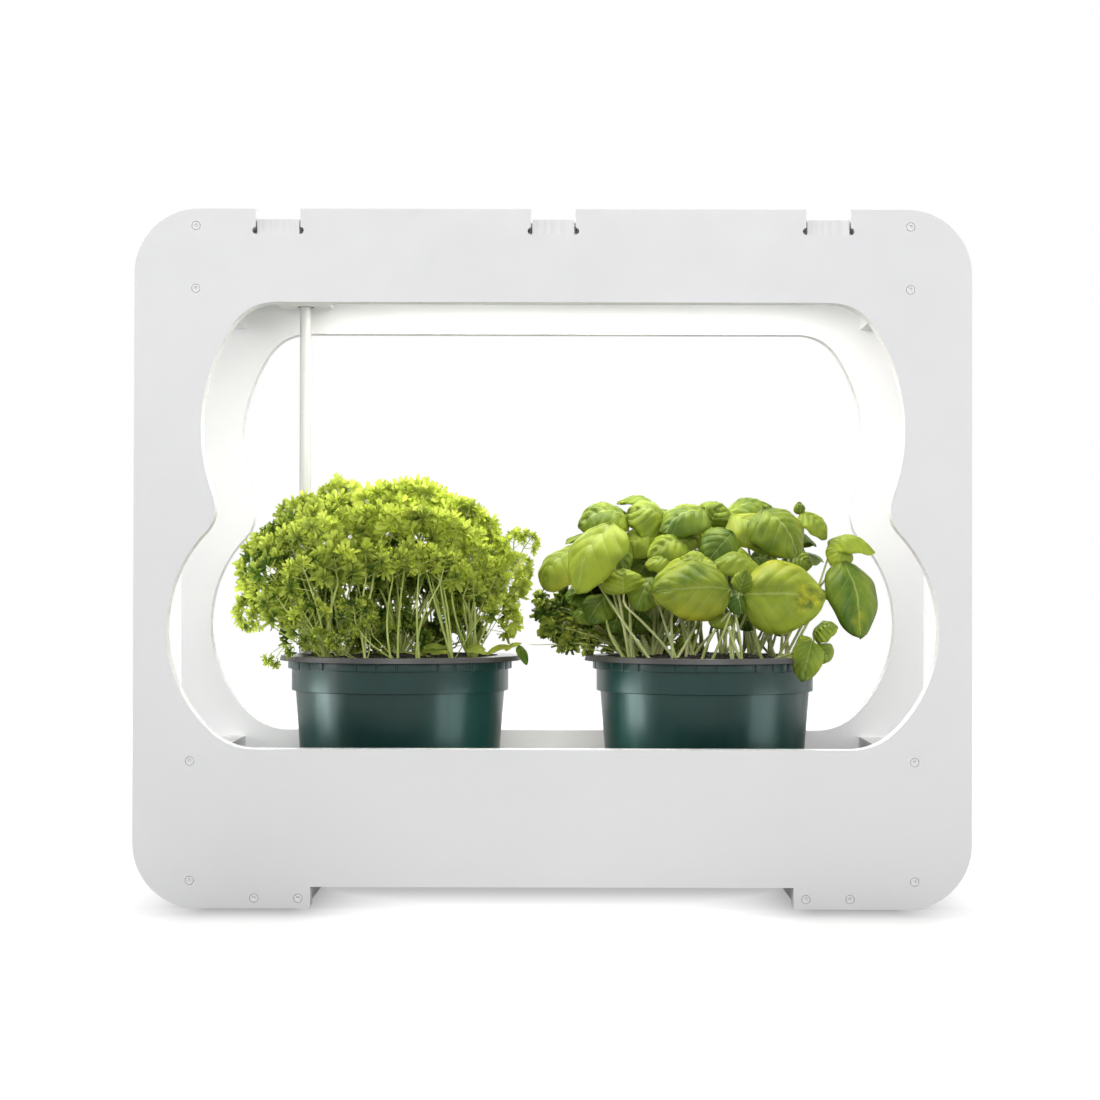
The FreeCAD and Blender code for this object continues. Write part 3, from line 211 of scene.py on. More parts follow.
def satin_board(thin):
    """White satin sheet, thin along one axis: faint clouds, fine grain, and saw marks on its cut edges."""
    nodes = start_material(f"satin_board_{thin}", (0.82, 0.82, 0.83), 0.42)
    clouds = nodes.ranged(nodes.noise(7.0, 4.0), 0.35, 0.65)
    face = nodes.between(clouds, (0.795, 0.797, 0.807), (0.825, 0.827, 0.836))
    facing = nodes.calculated("ABSOLUTE", nodes.split(nodes.coordinate("Normal"))[thin])
    cut = nodes.ranged(facing, 0.3, 0.6, 1.0, 0.0)
    marks = nodes.noise(420.0, 2.0, tuple(0.05 if axis == thin else 1.0 for axis in "XYZ"))
    edge = nodes.between(nodes.ranged(marks, 0.4, 0.6), (0.78, 0.78, 0.78), (0.83, 0.83, 0.83))
    nodes.shade(cut, face, edge)
    nodes.bump(nodes.plus(nodes.noise(1400.0, 2.0), nodes.times(cut, marks)), 0.03)
    nodes.roughen(nodes.noise(60.0), 0.38, 0.5)
    return nodes.owner


def moulded(name, color, roughness, grain=900.0, relief=0.03):
    """Moulded plastic or rubber: clouded colour, uneven gloss and a fine spark-eroded grain."""
    nodes = start_material(name, color, roughness)
    cloud = nodes.ranged(nodes.noise(30.0, 4.0), 0.3, 0.7)
    nodes.shade(cloud, scaled(color, 0.94), scaled(color, 1.06))
    nodes.roughen(nodes.noise(90.0), roughness - 0.05, roughness + 0.07)
    nodes.bump(nodes.noise(grain, 2.0), relief)
    return nodes.owner


def extruded(name, color, roughness, stretch, metallic):
    """Extruded or drawn metal or plastic with fine lines along its length."""
    nodes = start_material(name, color, roughness, Metallic=metallic)
    lines = nodes.noise(700.0, 3.0, stretch)
    nodes.shade(nodes.ranged(lines, 0.35, 0.65), scaled(color, 0.94), scaled(color, 1.04))
    nodes.roughen(lines, roughness - 0.06, roughness + 0.08)
    nodes.bump(lines, 0.02)
    return nodes.owner


def painted_screw():
    """White coated screw heads with a little wear in the paint."""
    nodes = start_material("painted_screw", (0.86, 0.86, 0.87), 0.38)
    wear = nodes.ranged(nodes.noise(1600.0, 4.0), 0.68, 0.76)
    nodes.shade(wear, (0.88, 0.88, 0.89), (0.55, 0.54, 0.53))
    nodes.bump(nodes.noise(2500.0, 2.0), 0.02)
    return nodes.owner


def circuit_laminate():
    """Green laminate with copper runs under the lacquer."""
    nodes = start_material("circuit_laminate", (0.03, 0.12, 0.05), 0.3)
    runs = nodes.new("TexBrick")
    values = {
        "Vector": nodes.coordinate("Object"), "Scale": 260.0, "Mortar Size": 0.06,
        "Color1": (0.02, 0.1, 0.04), "Color2": (0.03, 0.13, 0.05), "Mortar": (0.09, 0.24, 0.09)}
    for socket, value in values.items():
        nodes.feed(runs.inputs[socket], value)
    nodes.paint(runs.outputs["Color"])
    nodes.bump(nodes.noise(600.0, 2.0), 0.02)
    return nodes.owner


def opal_diffuser():
    """Opal sheet that glows warm white, finely ribbed along its length."""
    nodes = start_material("opal_diffuser", (0.92, 0.91, 0.87), 0.35,
                           Emission_Color=(1.0, 0.965, 0.9), Emission_Strength=LAMP_GLOW)
    ribs = nodes.noise(900.0, 1.0, (0.01, 1.0, 1.0))
    nodes.shade(ribs, (0.88, 0.87, 0.83), (0.94, 0.93, 0.89))
    nodes.bump(ribs, 0.05)
    return nodes.owner


def led_resin():
    """Yellow phosphor under clear resin."""
    nodes = start_material("led_resin", (0.85, 0.66, 0.16), 0.15, Coat_Weight=0.6)
    nodes.shade(nodes.noise(900.0), (0.78, 0.58, 0.1), (0.9, 0.74, 0.24))
    nodes.bump(nodes.noise(500.0, 1.0), 0.02)
    return nodes.owner


def pot_plastic():
    """Dark blue-green moulded pot: satin, with faint flow lines round and up the wall."""
    nodes = start_material("pot_plastic", (0.005, 0.036, 0.03), 0.33, Specular_IOR_Level=0.32)
    cloud = nodes.ranged(nodes.noise(22.0, 5.0), 0.3, 0.7)
    nodes.shade(cloud, (0.005, 0.028, 0.024), (0.009, 0.04, 0.034))
    flow = nodes.noise(120.0, 3.0, (1.0, 1.0, 0.12))
    nodes.bump(nodes.plus(flow, nodes.times(nodes.noise(1100.0, 2.0), 0.4)), 0.05)
    nodes.roughen(flow, 0.28, 0.4)
    return nodes.owner


def potting_soil():
    """Dark peat with paler fibres, bark and a few mineral grains."""
    nodes = start_material("potting_soil", (0.03, 0.022, 0.015), 0.92)
    lumps = nodes.ranged(nodes.noise(260.0, 6.0), 0.35, 0.65)
    fibres = nodes.ranged(nodes.noise(500.0, 4.0, (1.0, 0.25, 1.0)), 0.62, 0.68)
    grains = nodes.ranged(nodes.noise(900.0, 2.0), 0.7, 0.74)
    peat = nodes.between(lumps, (0.006, 0.004, 0.003), (0.034, 0.022, 0.014))
    nodes.shade(grains, nodes.between(fibres, peat, (0.11, 0.06, 0.03)), (0.3, 0.27, 0.22))
    nodes.bump(nodes.noise(700.0, 6.0), 0.6)
    return nodes.owner


def plant_stem(name, low, high):
    """A fresh stem: fine ridges along it and a change of tone from node to node."""
    nodes = start_material(
        name, high, 0.5, Specular_IOR_Level=0.2, Subsurface_Weight=0.15, Subsurface_Scale=0.001)
    nodes.shade(nodes.ranged(nodes.noise(45.0), 0.3, 0.7), low, high)
    nodes.bump(nodes.noise(2200.0, 2.0, (1.0, 1.0, 0.08)), 0.06)
    return nodes.owner


# Leaves: how many pairs of side veins, how they slant, and colours that both plants share.
VEIN_PAIRS = 5.0
VEIN_SLOPE = 0.38
# Leaf tones run from LEAF_DARK to a plant's light colour; low and high tones hold painted shade and painted
# light.
LEAF_DARK = (0.075, 0.15, 0.014)
LEAF_OLD = (0.58, 0.56, 0.04)
LEAF_VEIN = (0.52, 0.6, 0.2)
PARSLEY_LIGHT = (0.7, 0.8, 0.13)
BASIL_LIGHT = (0.42, 0.52, 0.045)
LAMP_GLOW = 22.0


def look_values(nodes):
    """The three values that each leaf carries: tone, which holds painted light and shade as well as the
    leaf's own tone, yellowing and blemish.
    """
    source = nodes.new("Attribute")
    source.attribute_name = "look"
    parts = nodes.split(source.outputs["Vector"])
    return parts["X"], parts["Y"], parts["Z"]


def vein_values(nodes):
    """Masks of the midrib and of the side veins, and the wave of the side veins, from a leaf's UV map."""
    source = nodes.new("UVMap")
    source.uv_map = "leaf"
    parts = nodes.split(source.outputs["UV"])
    off_middle = nodes.calculated("ABSOLUTE", nodes.minus(parts["Y"], 0.5))
    midrib = nodes.ranged(off_middle, 0.005, 0.022, 1.0, 0.0)
    along = nodes.minus(parts["X"], nodes.times(off_middle, VEIN_SLOPE * 2.0))
    turns = nodes.times(nodes.times(along, VEIN_PAIRS), math.pi)
    wave = nodes.calculated("ABSOLUTE", nodes.calculated("SINE", turns))
    side = nodes.ranged(wave, 0.04, 0.26, 1.0, 0.0)
    fade = nodes.ranged(off_middle, 0.3, 0.47, 1.0, 0.0)
    return midrib, nodes.times(side, fade), wave


def leaf_tissue(name, light, roughness, glow, veined, under=1.0):
    """A leaf: tone by leaf, which holds painted light and shade, and by patch, veins, and light that passes
    through; under scales its colours.
    """
    nodes = start_material(name, light, roughness, Specular_IOR_Level=0.21)
    tone, yellow, blemish = look_values(nodes)
    patches = nodes.ranged(nodes.noise(70.0, 5.0), 0.3, 0.7, -0.22, 0.22)
    clouds = nodes.ranged(nodes.noise(26.0, 2.0), 0.35, 0.65, -0.2, 0.2)
    tone = nodes.plus(tone, nodes.plus(patches, clouds))
    color = nodes.between(tone, scaled(LEAF_DARK, under), scaled(light, under))
    faded = nodes.ranged(nodes.noise(55.0), 0.42, 0.58, 0.25, 1.0)
    color = nodes.between(nodes.times(yellow, faded), color, LEAF_OLD)
    height = nodes.noise(1500.0, 2.0)
    if veined:
        midrib, side, wave = vein_values(nodes)
        color = nodes.between(nodes.times(side, 0.13), color, LEAF_VEIN)
        color = nodes.between(nodes.times(midrib, 0.5), color, LEAF_VEIN)
        spots = nodes.ranged(nodes.noise(130.0), 0.36, 0.64)
        spotted = nodes.between(spots, (0.6, 0.6, 0.03), (0.13, 0.19, 0.02))
        color = nodes.between(blemish, color, spotted)
        height = nodes.plus(nodes.times(height, 0.25), wave)
    nodes.paint(color)
    nodes.bump(height, 0.45)
    nodes.roughen(nodes.noise(240.0), roughness - 0.05, roughness + 0.08)
    through = nodes.new("BsdfTranslucent")
    nodes.feed(through.inputs["Color"], color)
    nodes.join("MixShader", through).inputs["Fac"].default_value = glow
    return nodes.owner


def finishes():
    """One material for each of the record's slots."""
    return {
        "board_white": satin_board("Y"),
        "tray_grey": moulded("tray_plastic", (0.64, 0.62, 0.59), 0.45, 700.0, 0.05),
        "screw_white": painted_screw(),
        "tube_grey": extruded("tube_plastic", (0.47, 0.47, 0.46), 0.35, (1.0, 1.0, 0.02), 0.0),
        "black_plastic": moulded("black_plastic", (0.012, 0.012, 0.013), 0.4),
        "lead_sheath": moulded("lead_sheath", (0.7, 0.7, 0.69), 0.5, 1500.0),
        "gland_rubber": moulded("gland_rubber", (0.02, 0.02, 0.02), 0.7, 1200.0, 0.05),
        "box_grey": moulded("box_plastic", (0.74, 0.74, 0.73), 0.5, 650.0, 0.08),
        "circuit_green": circuit_laminate(),
        "lamp_aluminium": extruded("lamp_aluminium", (0.72, 0.72, 0.73), 0.38, (0.02, 1.0, 1.0), 1.0),
        "lamp_cap_white": moulded("cap_plastic", (0.78, 0.78, 0.78), 0.45),
        "led_board_white": moulded("led_board_coat", (0.8, 0.8, 0.8), 0.35, 1800.0, 0.01),
        "led_yellow": led_resin(),
        "diffuser_opal": opal_diffuser(),
        "pot_green": pot_plastic(),
        "insert_grey": moulded("insert_plastic", (0.042, 0.041, 0.04), 0.42, 800.0, 0.05),
        "soil": potting_soil(),
        "parsley_stem": plant_stem("parsley_stem", (0.3, 0.4, 0.07), (0.62, 0.68, 0.24)),
        "parsley_leaf": leaf_tissue("parsley_leaf", PARSLEY_LIGHT, 0.42, 0.42, False),
        "basil_stem": plant_stem("basil_stem", (0.34, 0.41, 0.12), (0.62, 0.66, 0.32)),
        "basil_leaf": leaf_tissue("basil_leaf", BASIL_LIGHT, 0.4, 0.28, True),
    }


FINISHES = finishes()
BASIL_UNDER = leaf_tissue("basil_underside", BASIL_LIGHT, 0.6, 0.28, True, 0.9)


def thin_axis(node):
    """The axis along which a CAD node's box is thinnest."""
    low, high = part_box(node)
    return min("XYZ", key=lambda axis: (high - low)["XYZ".index(axis)])


def finish_cad():
    """Give every CAD node the finish of its slot, and boards the one for the way they lie."""
    boards = {"X": satin_board("X"), "Y": FINISHES["board_white"], "Z": satin_board("Z")}
    for part in frame["record"]["subparts"]:
        finish = FINISHES[part["material_slot"]]
        if part["material_slot"] == "board_white":
            finish = boards[thin_axis(part["node"])]
        for place in frame["nodes"][part["node"]].material_slots:
            place.material = finish


def show(thing):
    """Put a thing in the scene."""
    bpy.context.scene.collection.objects.link(thing)


def keep_piece(bm, name, body, slot, *nodes, materials=()):
    """Make a bmesh a piece that rides on a body and stands for CAD nodes."""
    mesh = bpy.data.meshes.new(name)
    bm.to_mesh(mesh)
    bm.free()
    return keep_mesh(mesh, name, body, slot, *nodes, materials=materials)


def keep_mesh(mesh, name, body, slot, *nodes, materials=()):
    """Make a mesh a smooth piece that rides on a body and stands for CAD nodes."""
    mesh.shade_smooth()
    mesh.materials.clear()
    for material in (FINISHES[slot], *materials):
        mesh.materials.append(material)
    piece = bpy.data.objects.new(name, mesh)
    show(piece)
    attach(piece, body)
    if nodes:
        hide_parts(*nodes)
    return piece


def middle_of(node):
    """The upright axis through a CAD node's box, at its bottom."""
    low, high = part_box(node)
    return Vector(((low.x + high.x) / 2, (low.y + high.y) / 2, low.z))


# Shapes turned about the upright axis.

def chain_of(bm, points):
    """A chain of edges through points, each given by its radius and height."""
    verts = [bm.verts.new((radius, 0.0, z)) for radius, z in points]
    return verts + [bm.edges.new(pair) for pair in zip(verts, verts[1:])]


def turned(bm, chain, angle, steps, merge):
    """Turn a chain by an angle in degrees, and give back the chain at its end."""
    done = bmesh.ops.spin(bm, geom=chain, cent=(0, 0, 0), axis=(0, 0, 1), angle=math.radians(angle),
                          steps=steps, use_merge=merge)
    return done["geom_last"]


def close_seam(bm):
    """Join the ends of a full turn, and face it outwards."""
    bmesh.ops.remove_doubles(bm, verts=bm.verts, dist=0.01 * MM)
    bmesh.ops.recalc_face_normals(bm, faces=bm.faces)


# The pots: a half section turned in steps, with narrow steps where the collar has its joints. Angles and
# steps are in degrees, lengths in mm.

JOINT_ANGLES = [group * 40.0 + offset for group in range(9) for offset in (-18.5, -8.5, 1.5)]
JOINT_WIDTH = 1.0
JOINT_DEPTH = 0.8
POT_STEP = 2.6
POT_WALL = 2.0
COLLAR_TALL = 5.5
BAND_TALL = 20.1
# How far the collar stands out past the band, the wall below it and the bottom.
PAST_BAND = 2.5
PAST_SHOULDER = 5.15
PAST_BOTTOM = 13.55


def pot_section(bm, node):
    """The pot's half section as a chain of edges, in the plane through its axis."""
    low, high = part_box(node)
    height = high.z - low.z
    collar = (high.x - low.x) / 2
    body_top = height - BAND_TALL * MM
    band_top = height - COLLAR_TALL * MM
    wall = POT_WALL * MM
    bottom, shoulder, band = (collar - past * MM for past in (PAST_BOTTOM, PAST_SHOULDER, PAST_BAND))
    points = (
        (0.0, 0.0), (bottom, 0.0), (shoulder, body_top), (band, body_top), (band, band_top),
        (collar, band_top), (collar, height), (band - wall, height), (band - wall, body_top + wall),
        (shoulder - wall, body_top + wall), (bottom - wall, 1.2 * wall), (0.0, 1.2 * wall))
    return chain_of(bm, points)


def turn_steps():
    """Steps of the turn about the axis: (angle in degrees, number of steps) with the joints between."""
    steps = []
    angles = sorted(angle % 360.0 for angle in JOINT_ANGLES)
    for angle, after in zip(angles, angles[1:] + [angles[0] + 360.0]):
        gap = after - angle - JOINT_WIDTH
        steps.append((JOINT_WIDTH, 1))
        steps.append((gap, max(1, round(gap / POT_STEP))))
    return angles[0], steps


def pot_shell(node, name, body):
    """A pot with a band and a collar, rounded edges and joints in the collar."""
    bm = bmesh.new()
    chain = pot_section(bm, node)
    axis = middle_of(node)
    first, steps = turn_steps()
    low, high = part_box(node)
    joints = []
    for angle, count in steps:
        before = set(bm.faces)
        chain = turned(bm, chain, angle, count, False)
        if count == 1:
            joints += [face for face in bm.faces if face not in before]
    joints = [face for face in joints if on_collar(face, (high.x - low.x) / 2, high.z - low.z)]
    close_seam(bm)
    joints = [face for face in joints if face.is_valid]
    bmesh.ops.inset_individual(bm, faces=joints, thickness=0.05 * MM, depth=-JOINT_DEPTH * MM)
    start = math.radians(first - 90.0)
    bmesh.ops.rotate(bm, verts=bm.verts, cent=(0, 0, 0), matrix=Matrix.Rotation(start, 3, "Z"))
    bmesh.ops.translate(bm, verts=bm.verts, vec=axis)
    piece = keep_piece(bm, name, body, "pot_green", node)
    round_edges(piece, 0.5)
    return piece


def on_collar(face, radius, height):
    """Whether a face is on the outside of the collar."""
    middle = face.calc_center_median()
    level = abs(face.normal.z) < 0.1
    return level and middle.xy.length > radius - 0.5 * MM and middle.z > height - 5.0 * MM


def round_edges(piece, width):
    """A small radius in mm on every sharp edge."""
    bevel = piece.modifiers.new("radius", "BEVEL")
    bevel.width = width * MM
    bevel.segments = 3
    bevel.limit_method = "ANGLE"
    bevel.angle_limit = math.radians(35)
    bevel.harden_normals = False


# The soil: a heaped surface of lumps, with crumbs and bark lying on it.

SOIL_RINGS = 22
SOIL_STEPS = 120
CRUMB_COUNT = 420
SOIL_HEAP = 8.5 * MM
# In mm: the soil's edge below its top, the insert's shelf below that edge, and how much less wide in
# radius the soil's foot is than its top.
SOIL_EDGE = 6.0
SOIL_SHELF = 20.0
SOIL_FOOT = 6.2


def mound(inward):
    """The height of heaped soil, by the way in from its edge, both as parts of the whole."""
    return 0.85 * math.sin(math.pi / 2 * inward) ** 0.5


def soil_heap(node, name, body, seed):
    """The soil in an insert, down to the insert's floor."""
    low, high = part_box(node)
    axis = middle_of(node)
    radius = (high.x - low.x) / 2
    edge = high.z - axis.z - SOIL_EDGE * MM
    shelf = edge - SOIL_SHELF * MM
    bottom = radius - SOIL_FOOT * MM
    rim = [(0.0, 0.0), (bottom, 0.0), (radius, shelf), (radius, edge)]
    top = [(radius * (1 - i / SOIL_RINGS), edge + SOIL_HEAP * mound(i / SOIL_RINGS))
           for i in range(1, SOIL_RINGS + 1)]
    bm = bmesh.new()
    turned(bm, chain_of(bm, rim + top), 360.0, SOIL_STEPS, True)
    close_seam(bm)
    for vert in bm.verts:
        if vert.co.z > edge + 0.2 * MM:
            lump = noise.fractal(vert.co * 140.0 + Vector((seed, 0, 0)), 1.0, 2.0, 4)
            inside = min(1.0, (radius - vert.co.xy.length) / (8.0 * MM))
            vert.co.z += 1.5 * MM * lump * inside
    bmesh.ops.translate(bm, verts=bm.verts, vec=axis)
    add_crumbs(bm, axis + Vector((0, 0, edge)), radius - 3.0 * MM, random.Random(seed))
    return keep_piece(bm, name, body, "soil", node)


def add_crumbs(bm, place, radius, rng):
    """Crumbs of peat and bark, part sunk in the surface."""
    for _ in range(CRUMB_COUNT):
        away = radius * math.sqrt(rng.random())
        turn = rng.uniform(0, math.tau)
        rise = SOIL_HEAP * mound(1 - away / radius)
        size = rng.uniform(0.6, 1.7) * MM
        centre = place + Vector((away * math.cos(turn), away * math.sin(turn), rise + size * 0.2))
        shape = Matrix.Diagonal((rng.uniform(0.8, 2.2), rng.uniform(0.7, 1.2), rng.uniform(0.4, 0.8), 1.0))
        spin = Matrix.Rotation(rng.uniform(0, math.tau), 4, "Z")
        spin @= Matrix.Rotation(rng.uniform(-0.5, 0.5), 4, "X")
        bmesh.ops.create_icosphere(bm, subdivisions=1, radius=size,
                                   matrix=Matrix.Translation(centre) @ spin @ shape)


# Stems: one curve of many splines, made a mesh.

def bowed(start, end, bow, count=6):
    """Points from start to end, bowed aside by a vector at the middle."""
    return [start.lerp(end, i / count) + bow * math.sin(math.pi * i / count) for i in range(count + 1)]


def drawn(rng, *ranges):
    """A vector drawn at random, each part from its own range."""
    return Vector([rng.uniform(*pair) for pair in ranges])


def jitter(rng, reach):
    """A small level shift, up to reach mm each way."""
    return drawn(rng, (-reach, reach), (-reach, reach)).to_3d() * MM


def stalk_bases(soil, bunches, reach):
    """Where a plant's stalks leave its soil, no further than reach mm from its middle."""
    axis = middle_of(soil)
    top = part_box(soil)[1].z
    bases = []
    for bunch in bunches:
        place = seen(*bunch)
        away = Vector((place.x - axis.x, place.y - axis.y))
        if away.length > reach * MM:
            away *= reach * MM / away.length
        bases.append(Vector((axis.x + away.x, axis.y + away.y, top - 3.5 * MM)))
    return bases


class Stems:
    """Stems collected as paths with a diameter in mm at each end."""

    def __init__(self):
        self.paths = []

    def add(self, points, thick, thin):
        """One stem along points."""
        self.paths.append((points, thick, thin))

    def make(self, name, body, slot, *nodes):
        """All the stems as one mesh."""
        curve = bpy.data.curves.new(name + "_line", "CURVE")
        curve.dimensions = "3D"
        curve.bevel_depth = 1.0
        curve.bevel_resolution = 1
        curve.resolution_u = 2
        curve.use_fill_caps = True
        for points, thick, thin in self.paths:
            spline = curve.splines.new("NURBS")
            spline.points.add(len(points) - 1)
            for i, (point, place) in enumerate(zip(spline.points, points)):
                part = i / (len(points) - 1)
                point.co = (*place, 1.0)
                point.radius = (thick + (thin - thick) * part) * MM / 2
            spline.order_u = 3
            spline.use_endpoint_u = True
        holder = bpy.data.objects.new(name + "_line", curve)
        show(holder)
        mesh = bpy.data.meshes.new_from_object(holder)
        bpy.data.objects.remove(holder)
        return keep_mesh(mesh, name, body, slot, *nodes)


# Leaves.

def start_leaves():
    """A bmesh for leaves, with a UV map and the values that each leaf carries."""
    bm = bmesh.new()
    bm.loops.layers.uv.new("leaf")
    bm.verts.layers.float_vector.new("look")
    return bm


def leaf_axes(base, tip, facing):
    """Length and the three directions of a leaf: along it, aside and out of its face."""
    along = tip - base
    length = along.length
    along.normalize()
    out = (facing - along * facing.dot(along)).normalized()
    return length, along, out.cross(along), out


def add_leaves(bm, build, *values):
    """Build leaves in a small bmesh and add them to a large one, which is quicker than building there."""
    part = start_leaves()
    build(part, *values)
    mesh = bpy.data.meshes.new("part")
    part.to_mesh(mesh)
    part.free()
    bm.from_mesh(mesh)
    bpy.data.meshes.remove(mesh)


def thicken(piece, thickness, under):
    """Give leaves their thickness, with another material below where there is one."""
    solid = piece.modifiers.new("thickness", "SOLIDIFY")
    solid.thickness = thickness * MM
    solid.offset = -1.0
    solid.material_offset = 1 if under else 0


# Basil.

BASIL_ALONG = 20
BASIL_ACROSS = 12
# The relief of a basil leaf, each as a part of its half width.
PUCKER = 0.055
GROOVE = 0.06
WANDER = 0.11
RIPPLE = 0.05


def basil_width(u):
    """A leaf's width along its length, as a part of its greatest width."""
    return max(0.03, math.sin(math.pi * u ** 0.79) ** 0.54 * (1 - 0.15 * u ** 5))


def basil_leaf(bm, base, tip, width, facing, tone, arch, cup, yellow, blemish, seed):
    """A domed, puckered leaf; width in mm, arch and cup as parts of its length and half width."""
    look = bm.verts.layers.float_vector["look"]
    length, along, aside, out = leaf_axes(base, tip, Vector(facing))
    half = width * MM / 2
    grid = bmesh.ops.create_grid(bm, x_segments=BASIL_ALONG, y_segments=BASIL_ACROSS, size=1.0, calc_uvs=True)
    shift = Vector((seed * 3.7, seed * 1.3, 0.0))
    for vert in grid["verts"]:
        u = (vert.co.x + 1) / 2
        v = vert.co.y
        reach = half * basil_width(u)
        veins = abs(math.sin(math.pi * VEIN_PAIRS * (u - VEIN_SLOPE * abs(v))))
        pucker = PUCKER * half * (veins ** 0.7) * (1 - abs(v) ** 3)
        groove = GROOVE * half * math.exp(-(v / 0.07) ** 2)
        wander = WANDER * half * noise.noise(Vector((u * 2.4, v * 1.5, 0)) + shift)
        ripple = RIPPLE * half * math.sin(u * 17 + seed) * v * v
        rise = arch * 1.25 * length * math.sin(math.pi * u) - cup * half * 0.8 * v * v * basil_width(u)
        height = rise + pucker - groove + wander + ripple
        narrow = 1 - 0.12 * cup * abs(v)
        vert.co = base + along * (u * length) + aside * (v * reach * narrow) + out * height
        spot = blemish * max(0.0, 1 - ((u - 0.8) / 0.2) ** 2) * max(0.0, 1 - ((v + 0.1) / 0.55) ** 2)
        edge_yellow = yellow * (0.25 + 1.35 * max(0.0, v) ** 1.5)
        vert[look] = (tone - 0.08 + 0.2 * v * v, edge_yellow, min(1.0, 1.6 * spot))
